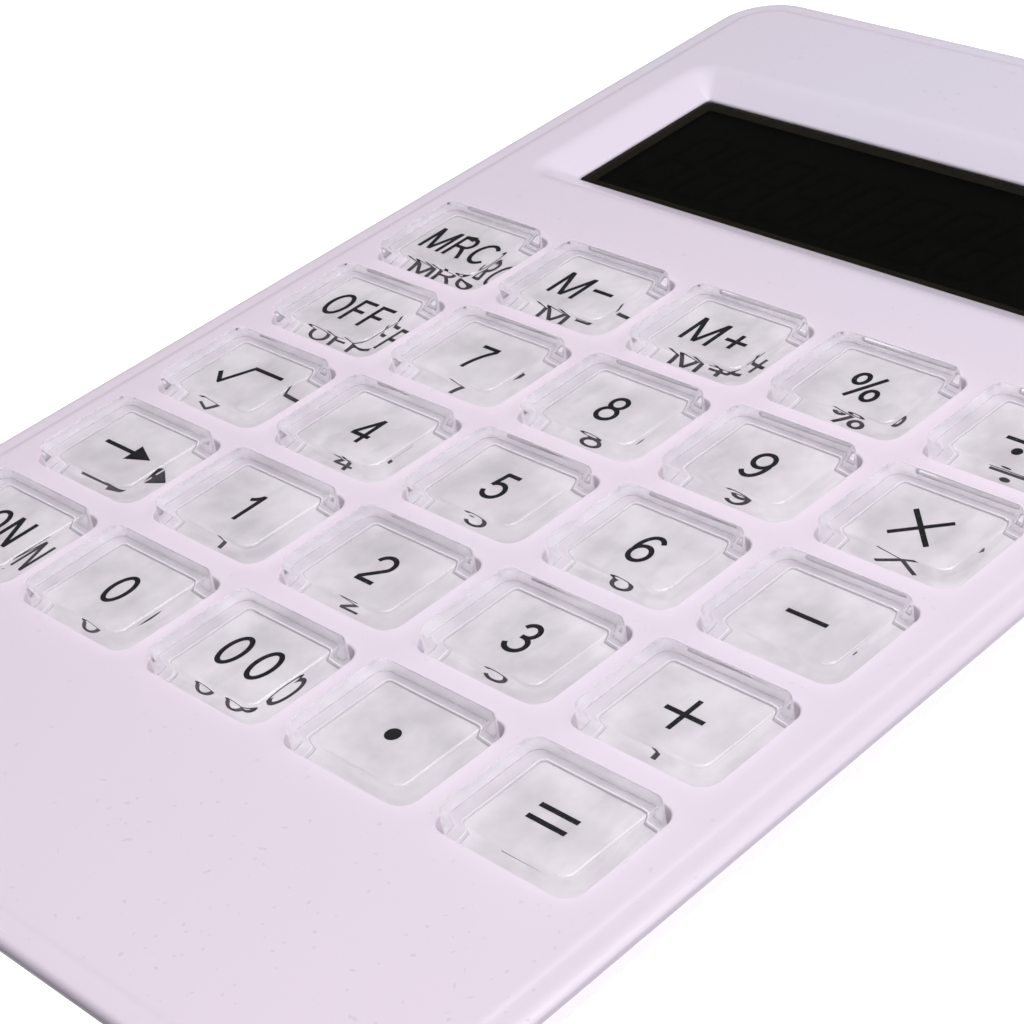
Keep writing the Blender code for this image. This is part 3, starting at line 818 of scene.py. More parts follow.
H = 0.061  # half a stroke's width, where a letter is one unit high
GLYPHS = {
    "0": (0.60, [arc(0.30, 0.5, 0.24, 0.44, 0, 360, 40)]),
    "1": (0.60, [[(0.37, 0.0), (0.37, 1.0)], fillet((0.12, 0.74), (0.30, 0.82), (0.36, 0.97), 8)]),
    "2": (0.60, [arc(0.30, 0.69, 0.24, 0.25, 172, -35) + [(0.07, 0.10)], [(0.04, H), (0.57, H)]]),
    "3": (0.60, [
        arc(0.28, 0.735, 0.20, 0.205, 165, -90), arc(0.28, 0.295, 0.25, 0.235, 90, -165),
        [(0.20, 0.53), (0.30, 0.53)],
    ]),
    "4": (0.60, [[(0.43, 0.0), (0.43, 1.0)], [(0.42, 0.95), (0.06, 0.30)], [(0.02, 0.29), (0.60, 0.29)]]),
    "5": (0.60, [
        [(0.13, 0.94), (0.53, 0.94)], [(0.17, 0.97), (0.10, 0.47)], arc(0.29, 0.33, 0.25, 0.27, 140, -165),
    ]),
    "6": (0.60, [arc(0.30, 0.32, 0.24, 0.26, 0, 360, 32), arc(0.34, 0.50, 0.28, 0.44, 42, 190)]),
    "7": (0.60, [[(0.03, 0.94), (0.57, 0.94)], fillet((0.54, 0.90), (0.24, 0.52), (0.20, 0.0), 10)]),
    "8": (0.60, [arc(0.30, 0.735, 0.20, 0.205, 0, 360, 32), arc(0.30, 0.295, 0.245, 0.235, 0, 360, 32)]),
    "9": (0.60, [arc(0.30, 0.68, 0.24, 0.26, 0, 360, 32), arc(0.26, 0.50, 0.28, 0.44, -138, 10)]),
    "M": (0.87, [
        [(0.06, 0.0), (0.06, 1.0)], [(0.81, 0.0), (0.81, 1.0)],
        [(0.08, 0.97), (0.435, 0.03)], [(0.79, 0.97), (0.435, 0.03)],
    ]),
    "R": (0.72, [
        [(0.06, 0.0), (0.06, 1.0)],
        [(0.06, 0.94), (0.40, 0.94)] + arc(0.40, 0.715, 0.22, 0.225, 90, -90) + [(0.06, 0.49)],
        fillet((0.34, 0.49), (0.48, 0.42), (0.67, 0.0), 8),
    ]),
    "C": (0.74, [arc(0.40, 0.5, 0.34, 0.44, 42, 318, 32)]),
    "O": (0.78, [arc(0.39, 0.5, 0.33, 0.44, 0, 360, 40)]),
    "F": (0.60, [[(0.06, 0.0), (0.06, 1.0)], [(0.06, 0.94), (0.60, 0.94)], [(0.06, 0.50), (0.52, 0.50)]]),
    "N": (0.72, [[(0.06, 0.0), (0.06, 1.0)], [(0.66, 0.0), (0.66, 1.0)], [(0.08, 0.97), (0.64, 0.03)]]),
    "%": (1.02, [
        arc(0.22, 0.74, 0.16, 0.21, 0, 360, 28), arc(0.80, 0.26, 0.16, 0.21, 0, 360, 28),
        [(0.76, 1.0), (0.26, 0.0)],
    ]),
    "plus": (0.99, [[(0.0, 0.5), (0.99, 0.5)], [(0.495, 0.01), (0.495, 0.99)]]),
    "minus": (1.04, [[(0.0, 0.5), (1.04, 0.5)]]),
    "small_plus": (0.62, [[(0.0, 0.5), (0.62, 0.5)], [(0.31, 0.19), (0.31, 0.81)]]),
    "small_minus": (0.62, [[(0.0, 0.6), (0.62, 0.6)]]),
    "times": (1.08, [[(0.04, 0.02), (1.04, 0.98)], [(0.04, 0.98), (1.04, 0.02)]]),
    "equals": (0.99, [[(0.0, 0.33), (0.99, 0.33)], [(0.0, 0.69), (0.99, 0.69)]]),
    "root": (1.72, [
        [(0.02, 0.42), (0.36, 0.06)], [(0.32, 0.03), (0.74, 0.93)], [(0.69, 0.93), (1.72, 0.93)],
    ]),
}
DOTS = {"point": [(0.0, 0.5, 0.18)], "divide": [(0.52, 0.14, 0.13), (0.52, 0.86, 0.13)]}
GLYPHS["divide"] = (1.04, [[(0.0, 0.5), (1.04, 0.5)]])
GLYPHS["point"] = (0.0, [])
GLYPHS["arrow"] = (1.66, [[(0.0, 0.5), (1.10, 0.5)]])
ARROW_HEAD = [(1.00, 0.20), (1.66, 0.50), (1.00, 0.80)]

# %% [markdown]
# A legend is a row of glyphs with a spacing and a squeeze, because the longer words are set narrower.

# %% Lay the ink
CAP_HEIGHT = 3.0
INK_BOTTOM = LEGEND_HEIGHT + BOND + FILM_THICK + 0.003
INK_FILM = 0.012
INK_STEP = 0.0015
WORDS = {
    "mrc": (("M", "R", "C"), 0.13, 0.84), "m_minus": (("M", "small_minus"), 0.20, 1.0),
    "m_plus": (("M", "small_plus"), 0.20, 1.0), "off": (("O", "F", "F"), 0.15, 0.82),
    "on": (("O", "N"), 0.15, 0.82), "00": (("0", "0"), 0.34, 1.0),
}
SIGNS = {"percent": "%", "multiply": "times", "square_root": "root", "decimal": "point"}


def ribbon(shell, line, layer):
    """A flat slab along a line of points, mitred at its bends. Each layer lies a hair above the last."""
    low = INK_BOTTOM + layer * INK_STEP
    points = [Vector(p) for p in line]
    closed = (points[0] - points[-1]).length < 1e-6
    if closed:
        points.pop()
    sides = []
    for i, point in enumerate(points):
        before = point - points[i - 1] if i or closed else points[1] - point
        after = points[(i + 1) % len(points)] - point if i < len(points) - 1 or closed else before
        before, after = before.normalized(), after.normalized()
        across = Vector((-(before + after).y, (before + after).x)).normalized()
        reach = CAP_HEIGHT * H / max(across.dot(Vector((-after.y, after.x))), 0.5)
        sides.append((point * CAP_HEIGHT + across * reach, point * CAP_HEIGHT - across * reach))
    rings = []
    for left, right in sides:
        corners = ((left, low), (right, low), (right, low + INK_FILM), (left, low + INK_FILM))
        rings.append([shell.mesh.verts.new((p.x * MM, p.y * MM, z * MM)) for p, z in corners])
    if closed:
        rings.append(rings[0])
    shell.skin(rings)
    if not closed:
        shell.close(rings[0], rings[-1])


def slab(shell, outline, layer):
    low = INK_BOTTOM + layer * INK_STEP
    shell.prism(outline, low, low + INK_FILM)


def legend(glyphs, spacing, squeeze):
    shell = Shell()
    width = sum(GLYPHS[g][0] * squeeze for g in glyphs) + spacing * (len(glyphs) - 1)
    left, layer = -width / 2, 0
    for glyph in glyphs:
        for stroke in GLYPHS[glyph][1]:
            ribbon(shell, [(left + x * squeeze, y - 0.5) for x, y in stroke], layer)
            layer += 1
        for x, y, radius in DOTS.get(glyph, []):
            middle = ((left + x * squeeze) * CAP_HEIGHT, (y - 0.5) * CAP_HEIGHT)
            slab(shell, circle(radius * CAP_HEIGHT, middle, 28), layer)
            layer += 1
        if glyph == "arrow":
            slab(shell, [((left + x) * CAP_HEIGHT, (y - 0.5) * CAP_HEIGHT) for x, y in ARROW_HEAD], layer)
        left += GLYPHS[glyph][0] * squeeze + spacing
    return shell


for name in KEYS:
    word = name[4:]
    layout = WORDS.get(word, ((SIGNS.get(word, word),), 0.0, 1.0))
    made = legend(*layout).object("legend_" + word, INK, 30.0, size_of(name)[2])
    settle(made, name, "key_clear")
legends = [o for o in bpy.data.objects if o.name.startswith("legend_")]
print("legends:", sum(len(o.data.polygons) for o in legends), "faces")

# %% [markdown]
# ## Rubber mat and domes
#
# Under the keys lies one sheet of grey silicone with a dome for every key. A pressed key buckles its
# dome, so the sheet is one piece that stays put, and each dome is a piece of its own.

# %% Mat and domes
MAT_WIDTH, MAT_LENGTH, MAT_CENTRE, MAT_BOTTOM = size_of("keypad_mat")[:4]
SHEET_TOP = MAT_BOTTOM + 0.4
PAD_TOP = LEGEND_HEIGHT - GAP


def rubber_sheet():
    shell = Shell()

    def outline(grow):
        return rectangle(MAT_WIDTH + 2 * grow, MAT_LENGTH + 2 * grow, 2.0 + grow, MAT_CENTRE)

    section = [(-0.1, MAT_BOTTOM), (0.0, MAT_BOTTOM + 0.1), (0.0, SHEET_TOP - 0.1), (-0.1, SHEET_TOP)]
    shell.solid(outline, section)
    return shell.object("rubber_sheet", SILICONE)


def dome():
    """A pad that fits the key's pocket, on a foot that stays clear of the leaning sides."""
    shell = Shell()
    pad = (KEY_WIDTH - 2 * (POCKET + GAP), KEY_DEPTH - 2 * (POCKET + GAP))

    def outline(grow):
        across, along = (grow, 0.0) if grow < 0 else (-0.8 * grow, 0.75 * grow)
        return rectangle(pad[0] + 2 * across, pad[1] + 2 * along, 0.7)

    def pad_ring(grow):
        return rectangle(pad[0] + 2 * grow, pad[1] + 2 * grow, 0.6 + grow)

    rings = [shell.ring(outline(1.0), SHEET_TOP + z) for z in (-0.05, 0.2)]
    for spread, height in ((0.55, 0.6), (0.2, 1.0), (0.0, 1.3)):
        rings.append(shell.ring(outline(spread), SHEET_TOP + height))
    for grow, height in fillet((0.0, PAD_TOP - 0.2), (0.0, PAD_TOP), (-0.2, PAD_TOP), 4):
        rings.append(shell.ring(pad_ring(grow), height))
    shell.skin(rings)
    shell.close(rings[0], rings[-1])
    return shell.object("dome", SILICONE)


settle(rubber_sheet(), "case", "mat_silicone", "keypad_mat")
master_dome = dome()
press = {j["child"]: j for j in frame["joints"] if j["type"] == "slide"}
for name in KEYS:
    place = size_of(name)[2]
    made = settle(copied(master_dome, "dome_" + name[4:], place), "case", "mat_silicone", "keypad_mat")
    travel = press[name]["range_m"][1]
    height = (PAD_TOP - SHEET_TOP) * MM
    1 - travel / height
    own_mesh(made)
bpy.data.objects.remove(master_dome)
print("domes keep", round(1 - travel / height, 3), "of their height")

# %% [markdown]
# ## Display
#
# Behind the well sits a clear window with a black printed border, and behind that the display panel:
# two sheets of glass and a polariser that look almost black when nothing is lit. The window has a
# narrow flat collar inside its soft edge, or the edge would make the whole pane mirror like a pillow.

# %% Window, border and panel
LENS_FIT = 0.24
BORDER_WIDTH = 0.75


def lens_ring(grow):
    return rectangle(LENS_WIDTH + 2 * grow, LENS_HEIGHT + 2 * grow, 0.4 + min(grow, 0.0) * 0.3, LENS_CENTRE)


def clear_window():
    shell = Shell()
    edge, collar, high = LENS_FIT, LENS_FIT - 0.4, LENS_TOP + 0.12
    section = [(collar, high)] + fillet((edge - 0.08, high), (edge, high), (edge, high - 0.08), 3)
    section += [(edge, LENS_BOTTOM + 0.05), (edge - 0.05, LENS_BOTTOM), (collar, LENS_BOTTOM)]
    shell.solid(lens_ring, section)
    return shell.object("clear_window", WINDOW)


def printed_border():
    """The dark frame printed on the back of the window, just inside its skin."""
    shell = Shell()
    edge, low = LENS_FIT - 0.02, LENS_BOTTOM + 0.02
    high = low + 0.015
    shell.hoop(lens_ring, ((edge, low), (edge, high), (-BORDER_WIDTH, high), (-BORDER_WIDTH, low)))
    return shell.object("window_border", BORDER, 30.0)


def display_panel():
    """The rear glass, the front glass on it, a little smaller, and the polariser on top."""
    shell = Shell()
    width, length, centre, bottom, top = size_of("lcd_panel")

    def outline(grow):
        return rectangle(width + 2 * grow, length + 2 * grow, 0.4, centre)

    section = [(0.0, bottom), (0.0, bottom + 0.6), (-0.12, bottom + 0.62)]
    section += [(-0.12, top - 0.2), (-0.5, top - 0.18), (-0.5, top)]
    shell.solid(outline, section)
    return shell.object("display_panel", GLASS, 30.0)


settle(clear_window(), "case", "window_clear", "display_window")
settle(printed_border(), "case", "window_clear")
settle(display_panel(), "case", "lcd_black", "lcd_panel")

# %% [markdown]
# ## Things that repeat
#
# A display has a row of equal digits, a key field has a contact under each key, and a rubber
# connector has a hundred conducting layers. Drawing one of each and letting Geometry Nodes set out
# the rest keeps the pitch exact and in one place. The result is turned into a plain mesh, because
# each piece must be complete without its recipe.

# %% A grid of copies
def grid_tree():
    """Copies of the incoming geometry on a grid: counts, spans and centre come in by name."""
    tree = bpy.data.node_groups.new("copies_on_grid", "GeometryNodeTree")
    sockets = {
        "Unit": "Geometry", "Columns": "Int", "Rows": "Int", "Span X": "Float", "Span Y": "Float",
        "Centre": "Vector", "Finish": "Material",
    }
    for name, kind in sockets.items():
        tree.interface.new_socket(name, in_out="INPUT", socket_type="NodeSocket" + kind)
    tree.interface.new_socket("Geometry", in_out="OUTPUT", socket_type="NodeSocketGeometry")
    add = tree.nodes.new
    entry = add("NodeGroupInput").outputs
    grid = add("GeometryNodeMeshGrid")
    place = add("GeometryNodeTransform")
    copy = add("GeometryNodeInstanceOnPoints")
    realize = add("GeometryNodeRealizeInstances")
    finish = add("GeometryNodeSetMaterial")
    leave = add("NodeGroupOutput")
    for source, target in (
        (entry["Columns"], grid.inputs["Vertices X"]),
        (entry["Rows"], grid.inputs["Vertices Y"]),
        (entry["Span X"], grid.inputs["Size X"]),
        (entry["Span Y"], grid.inputs["Size Y"]),
        (grid.outputs["Mesh"], place.inputs["Geometry"]),
        (entry["Centre"], place.inputs["Translation"]),
        (place.outputs["Geometry"], copy.inputs["Points"]),
        (entry["Unit"], copy.inputs["Instance"]),
        (copy.outputs["Instances"], realize.inputs["Geometry"]),
        (realize.outputs["Geometry"], finish.inputs["Geometry"]),
        (entry["Finish"], finish.inputs["Material"]),
        (finish.outputs["Geometry"], leave.inputs[0]),
    ):
        tree.links.new(source, target)
    return tree


GRID = grid_tree()


def on_grid(unit, name, material, columns, rows, span, centre):
    """Copies one unit over a grid, with span and centre in millimetres, and keeps only the mesh."""
    step = unit.modifiers.new("grid", "NODES")
    step.node_group = GRID
    given = {
        "Columns": columns, "Rows": rows, "Span X": span[0] * MM, "Span Y": span[1] * MM,
        "Centre": (centre[0] * MM, centre[1] * MM, 0.0), "Finish": material,
    }
    for item in GRID.interface.items_tree:
        if item.name in given:
            step[item.identifier] = given[item.name]
    return piece(name, plain_mesh(unit, name), material)


def plain_mesh(made, name):
    """What a piece's modifiers make of it, as a mesh of its own; the piece itself goes."""
    bpy.context.view_layer.update()
    data = bpy.data.meshes.new_from_object(made.evaluated_get(bpy.context.evaluated_depsgraph_get()))
    bpy.data.objects.remove(made)
    data.name = name
    return data


# %% [markdown]
# ### The digits of the display
#
# Seven slanted bars to a digit, with pointed ends and a point beside it. They lie just above the
# panel's top sheet, as thin as real electrodes look.

# %% Digits
PANEL_TOP = size_of("lcd_panel")[4]
DIGITS = 12
DIGIT_PITCH = 4.35
DIGIT_WIDTH = 2.7
DIGIT_HEIGHT = 8.6
BAR = 0.55
SLANT = 0.12


def bar_outline(start, end):
    """A bar with pointed ends between two corners of a digit."""
    a, b = Vector(start), Vector(end)
    along = (b - a).normalized()
    side = Vector((-along.y, along.x)) * BAR / 2
    a, b = a + along * 0.08, b - along * 0.08
    tip = along * BAR / 2
    corners = (a, a + tip - side, b - tip - side, b, b - tip + side, a + tip + side)
    return [(p.x + SLANT * p.y, p.y) for p in corners]


def one_digit():
    shell = Shell()
    w, h = DIGIT_WIDTH / 2, DIGIT_HEIGHT / 2
    corners = {"a": (-w, h), "b": (w, h), "c": (-w, 0.0), "d": (w, 0.0), "e": (-w, -h), "f": (w, -h)}
    bars = ("ab", "cd", "ef", "ca", "db", "ec", "fd")
    outlines = [bar_outline(corners[start], corners[end]) for start, end in bars]
    outlines.append(circle(0.32, (w + 0.75 - SLANT * h, -h), 12))
    for outline in outlines:
        shell.prism(outline, PANEL_TOP + 0.004, PANEL_TOP + 0.03)
    return shell.object("digit", SEGMENT, 30.0)


panel_x, panel_y = size_of("lcd_panel")[2]
span = ((DIGITS - 1) * DIGIT_PITCH, 0.0)
digits = on_grid(one_digit(), "display_digits", SEGMENT, DIGITS, 1, span, (panel_x, panel_y + 0.2))
settle(digits, "case", "lcd_black")
print(DIGITS, "digits with", len(digits.data.polygons), "faces")

# %% [markdown]
# ### Panel holder and layered connector
#
# A black frame keeps the panel under the window. The connector below it is a bar of rubber with thin
# conducting layers across it, pressed between the board and the edge of the glass.

# %% Holder and connector
def frame_piece(name, node, border, material):
    """A rectangular frame with soft edges, as wide as its border."""
    width, length, centre, bottom, top = size_of(node)
    shell = Shell()

    def outline(grow):
        return rectangle(width + 2 * grow, length + 2 * grow, max(1.2 + grow, 0.4), centre)

    section = fillet((-0.15, top), (0.0, top), (0.0, top - 0.15), 3)
    section += fillet((0.0, bottom + 0.1), (0.0, bottom), (-0.1, bottom), 2)
    section += fillet((-border + 0.1, bottom), (-border, bottom), (-border, bottom + 0.1), 2)
    section += fillet((-border, top - 0.25), (-border, top), (-border + 0.25, top), 3)
    shell.hoop(outline, section)
    return shell.object(name, material)


settle(frame_piece("panel_holder", "lcd_holder", 1.0, BLACK), "case", "holder_black", "lcd_holder")


def soft_bar(name, node, material, soft=0.12, corner=0.2):
    """A bar with rounded corners and edges, as large as its part in the frame."""
    width, length, centre, bottom, top = size_of(node)
    shell = Shell()

    def outline(grow):
        return rectangle(width + 2 * grow, length + 2 * grow, corner + grow * 0.5, centre, 4)

    section = [(-1.6 * soft, top)] + fillet((-soft, top), (0.0, top), (0.0, top - soft), 3)
    section += fillet((0.0, bottom + soft), (0.0, bottom), (-soft, bottom), 3) + [(-1.6 * soft, bottom)]
    shell.solid(outline, section)
    return shell.object(name, material)


settle(soft_bar("connector_bar", "zebra_strip", ZEBRA), "case", "zebra_rubber", "zebra_strip")
LAYERS = 100
strip_width, strip_length, strip_centre, strip_bottom, strip_top = size_of("zebra_strip")


def conducting_layer():
    """One layer: it shows on both sides of the bar, 12 microns proud, and along its top."""
    shell = Shell()

    def outline(grow):
        return rectangle(0.2, strip_length + 2 * grow, 0.04, steps=2)

    shell.solid(outline, ((0.012, strip_bottom + 0.15), (0.012, strip_top - 0.15), (-0.1, strip_top + 0.008)))
    return shell.object("layer", BLACK)


span = (strip_width - 1.2, 0.0)
layers = on_grid(conducting_layer(), "connector_layers", BLACK, LAYERS, 1, span, (0.0, strip_centre[1]))
settle(layers, "case", "zebra_rubber")
print("connector layers:", len(layers.data.polygons), "faces")

# %% [markdown]
# ## Circuit board
#
# One board carries everything: a bay for the cell, four screw holes, and under each key a pair of
# gold combs that the dome shorts. The board is narrower than the key field, so the grid of combs is
# squeezed a little across. Tracks run along the rows, and from each column to the chip under its blob
# of black epoxy.

# %% Board
BOARD_WIDTH, BOARD_LENGTH, BOARD_CENTRE, BOARD_BOTTOM, BOARD_TOP = size_of("circuit_board")
CELL_CENTRE = size_of("button_cell")[2]
BAY_HALF = 10.5
BAY_DEPTH = 7.0
SCREW_HOLE = 0.95
SQUEEZE = 0.955
TRACK_TURN = 18.5
TRACK_STEP = 0.8
ROW_TRACK_HALF = 26.6


def circuit_board():
    """The bay for the cell is open to the front edge, so the outline steps round it."""
    shell = Shell()
    side = BOARD_WIDTH / 2
    front, back = BOARD_CENTRE[1] - BOARD_LENGTH / 2, BOARD_CENTRE[1] + BOARD_LENGTH / 2
    deep = CELL_CENTRE[1] + BAY_DEPTH
    corners = [(-side, front), (-BAY_HALF, front), (-BAY_HALF, deep), (BAY_HALF, deep)]
    corners += [(BAY_HALF, front), (side, front), (side, back), (-side, back)]
    rims = [shell.sweep(lambda grow: corners, ((0.0, BOARD_BOTTOM), (0.0, BOARD_TOP)))]
    for name in BOARD_SCREWS:
        section = [(SCREW_HOLE, BOARD_BOTTOM), (SCREW_HOLE, BOARD_TOP)]
        rims.append(shell.sweep(lambda radius: circle(radius, size_of(name)[2], 24), section))
    lows, highs = zip(*rims)
    shell.fill(lows)
    shell.fill(highs)
    return shell.object("board", BOARD, 30.0)


def strip(shell, start, end, width, low, high):
    """A flat bar between two points, square at its ends."""
    a, b = Vector(start), Vector(end)
    along = (b - a).normalized()
    side = Vector((-along.y, along.x)) * width / 2
    shell.prism([tuple(c) for c in (a - side, b - side, b + side, a + side)], low, high)


def contact_comb():
    """Two interleaved combs of gold, one for each side of the switch."""
    shell = Shell()
    low, high = BOARD_TOP - 0.01, BOARD_TOP + 0.03
    for side in (-1, 1):
        strip(shell, (side * 1.5, -1.7), (side * 1.5, 1.7), 0.3, low, high)
    for step in range(6):
        y = -1.5 + step * 0.6
        ends = (-1.5, 1.1) if step % 2 else (-1.1, 1.5)
        strip(shell, (ends[0], y), (ends[1], y), 0.25, low, high + 0.002)
    return shell.object("comb", GOLD, 30.0)


def tracks():
    shell = Shell()
    low, high = BOARD_TOP - 0.01, BOARD_TOP + 0.018
    chip_y = size_of("controller_chip")[2][1]
    for i, x in enumerate(key_x):
        lane = x * SQUEEZE + 2.6 * (1 if x < 20 else -1)
        turn = TRACK_TURN + TRACK_STEP * (4 - i if i < 3 else i)
        strip(shell, (lane, key_y[-1] - 2), (lane, turn), 0.28, low, high)
        strip(shell, (lane, turn), (lane * 0.1, turn + 1.6), 0.28, low, high + 0.001)
        strip(shell, (lane * 0.1, turn + 1.5), (lane * 0.1, chip_y), 0.28, low, high + 0.002)
    for y in key_y:
        strip(shell, (-ROW_TRACK_HALF, y + 2.6), (ROW_TRACK_HALF, y + 2.6), 0.22, low, high + 0.004)
    return shell.object("tracks", GOLD, 30.0)


settle(circuit_board(), "case", "board_green", "circuit_board")
settle(tracks(), "case", "contact_nickel")
span = ((key_x[-1] - key_x[0]) * SQUEEZE, key_y[0] - key_y[-1])
middle = (0.0, sum(key_y) / len(key_y))
combs = on_grid(contact_comb(), "contact_combs", GOLD, len(key_x), len(key_y), span, middle)
settle(combs, "case", "contact_nickel")
print("contact combs:", len(combs.data.polygons), "faces")

# %% [markdown]
# ### Chip, capacitor and cell
#
# The chip is only seen as a drop of epoxy that ran out flat before it set. The capacitor has tinned
# ends. The button cell is a deep can crimped over a smaller cap, with a thin dark gasket between.

# %% Chip, capacitor and cell
POUR_SEED = 7


def turned(name, node, section, material):
    """A round piece about its part's middle; the section is a list of (radius, height)."""
    place = size_of(node)[2]
    shell = Shell()
    shell.solid(lambda radius: circle(radius, place, 64), section)
    return shell.object(name, material, 35.0)


def epoxy_drop():
    width, _, _, low, high = size_of("controller_chip")
    section = [(width / 2 - 0.05, low)]
    for step in range(10):
        turn = math.radians(90 * step / 9)
        spread = 0.1 + 0.9 * math.cos(turn) ** 0.7
        section.append((width / 2 * spread, low + (high - low) * math.sin(turn)))
    return turned("epoxy_drop", "controller_chip", section, EPOXY)


def wavy(made, amount, per_mm):
    """Moves the points of a hand-poured piece a little; without the seed each run would differ."""
    noise.seed_set(POUR_SEED)
    for vertex in made.data.vertices:
        shift = noise.noise_vector(vertex.co * per_mm / MM) * amount * MM
        vertex.co += Vector((shift.x, shift.y, 0.0))
    return made


settle(wavy(epoxy_drop(), 0.1, 0.5), "case", "chip_black", "controller_chip")
settle(soft_bar("capacitor_body", "capacitor", CERAMIC, 0.06, 0.1), "case", "capacitor_brown", "capacitor")
cap_width, cap_length, cap_centre, cap_low, cap_high = size_of("capacitor")
ends = Shell()
for side in (-1, 1):
    middle = (cap_centre[0] + side * (cap_width / 2 - 0.18), cap_centre[1])
    ends.prism(rectangle(0.4, cap_length + 0.04, 0.08, middle, 3), cap_low - 0.01, cap_high + 0.02)
settle(ends.object("capacitor_ends", NICKEL, 40.0), "case", "contact_nickel")

cell_width, _, _, cell_low, cell_high = size_of("button_cell")
rim = cell_width / 2
can = [(rim - 0.9, cell_low)] + fillet((rim - 0.5, cell_low), (rim, cell_low), (rim, cell_low + 0.5), 6)
can += fillet((rim, cell_high - 0.75), (rim, cell_high - 0.4), (rim - 0.45, cell_high - 0.35), 5)
can += [(rim - 0.55, cell_high - 0.5), (rim - 0.8, cell_high - 0.5)]
lid = fillet((rim - 0.85, cell_high - 0.6), (rim - 0.85, cell_high), (rim - 1.35, cell_high), 6)
lid.append((rim - 1.6, cell_high))
gasket = [(rim - 0.95, cell_high - 0.6), (rim - 0.5, cell_high - 0.6), (rim - 0.5, cell_high - 0.42)]
gasket += [(rim - 0.7, cell_high - 0.38), (rim - 0.92, cell_high - 0.42)]
settle(turned("cell_can", "button_cell", can, STEEL), "case", "cell_steel", "button_cell")
settle(turned("cell_lid", "button_cell", lid, STEEL), "case", "cell_steel", "button_cell")
settle(turned("cell_gasket", "button_cell", gasket, FOOT), "case", "cell_steel", "button_cell")
for name in ("contact_negative", "contact_positive"):
    spring = bpy.data.objects[name]
    spring.data.materials.clear()
    spring.data.materials.append(NICKEL)

# %% [markdown]
# ## Rear shell
#
# The back is flat and its sides lean out at once to the thin rim, so that from above only the rim
# shows. It has a well for each foot and screw, a round door for the cell with three notches for the
# bayonet tabs, screw posts and, at each end, a lip that finds the front shell.

# %% Rear shell
FLAT_BACK, BACK_RIM = size_of("back_cover")[3], 6.3
FLOOR = 1.5
CAP_RADIUS = 7.3
DOOR_RADIUS = CAP_RADIUS + GAP
TAB_RADIUS = CAP_RADIUS + 1.1
NOTCHES_AT = 45.0
NOTCH_HALF = 17.6
BACK_WALL = 1.35
FOOT_WELL = 3.8
FOOT_WELL_TOP = 1.1
SINK = 1.9
SINK_TOP = 1.9
SHANK_HOLE = 1.1
POST = 2.7
POST_TOP = 3.1
LIP_BOTTOM, LIP_TOP = 4.9, 7.3
CELL_WALL = (0.9, 7.5)
CELL_WALL_AT = (9.45, -42.25)
CELL_WALL_TOP = 3.9


def door_ring(grow):
    """The door's outline, with a notch for each of the cap's three tabs."""
    points = []
    steps = 144
    for step in range(steps):
        angle = 360 * step / steps
        notch = abs((angle - NOTCHES_AT + 60.0) % 120.0 - 60.0) < NOTCH_HALF
        radius = (TAB_RADIUS + GAP if notch else DOOR_RADIUS) + grow
        turn = math.radians(angle)
        points.append((CELL_CENTRE[0] + radius * math.cos(turn), CELL_CENTRE[1] + radius * math.sin(turn)))
    return points


def door_cutter():
    """What the door takes out of the shell: it also nicks the sloping front wall, so it has to be cut."""
    shell = Shell()
    shell.solid(door_ring, [(0.12, 0.0), (0.12, FLAT_BACK), (0.0, FLAT_BACK + 0.12), (0.0, 3.0)])
    return shell.object("door_cutter", PLASTIC)


def carved(made, cutter):
    """The piece less the cutter, as a plain mesh."""
    step = made.modifiers.new("carve", "BOOLEAN")
    step.operation = "DIFFERENCE"
    step.solver = "EXACT"
    step.object = cutter
    name = made.name
    data = plain_mesh(made, name)
    bpy.data.objects.remove(cutter)
    data.shade_smooth()
    data.set_sharp_from_angle(angle=math.radians(40.0))
    return piece(name, data, PLASTIC)


def add_cell_wall(shell, side):
    width, length = CELL_WALL
    middle = (side * CELL_WALL_AT[0], CELL_WALL_AT[1])
    rings = []
    for soft, height in ((0.0, FLOOR - 0.1), (0.0, CELL_WALL_TOP - 0.2), (0.2, CELL_WALL_TOP)):
        rings.append(shell.ring(rectangle(width - soft, length - soft, 0.2, middle, 3), height))
    shell.skin(rings)
    shell.close(rings[0], rings[-1])


def add_lip(shell, side):
    """The lip that finds the front shell at one end: one millimetre thick, with its corners cut off."""
    reach, inner = BODY_LENGTH / 2 - COVER_WALL - GAP, BODY_WIDTH / 2 - COVER_WALL - GAP
    outer = [(inner, 50.0), (inner, reach - 1.7), (inner - 0.5, reach - 0.5), (inner - 1.7, reach)]
    inside = [(inner - 1.9, reach - 1), (inner - 1, reach - 1.9), (inner - 1, 50.0)]
    half = outer + [(-x, y) for x, y in outer[::-1]]
    back = [(-x, y) for x, y in inside[::-1]] + inside
    outline = [(side * x, side * y) for x, y in half + back]
    low, high = shell.sweep(lambda grow: outline, ((0.0, LIP_BOTTOM), (0.0, LIP_TOP)))
    shell.fill([low])
    shell.fill([high])


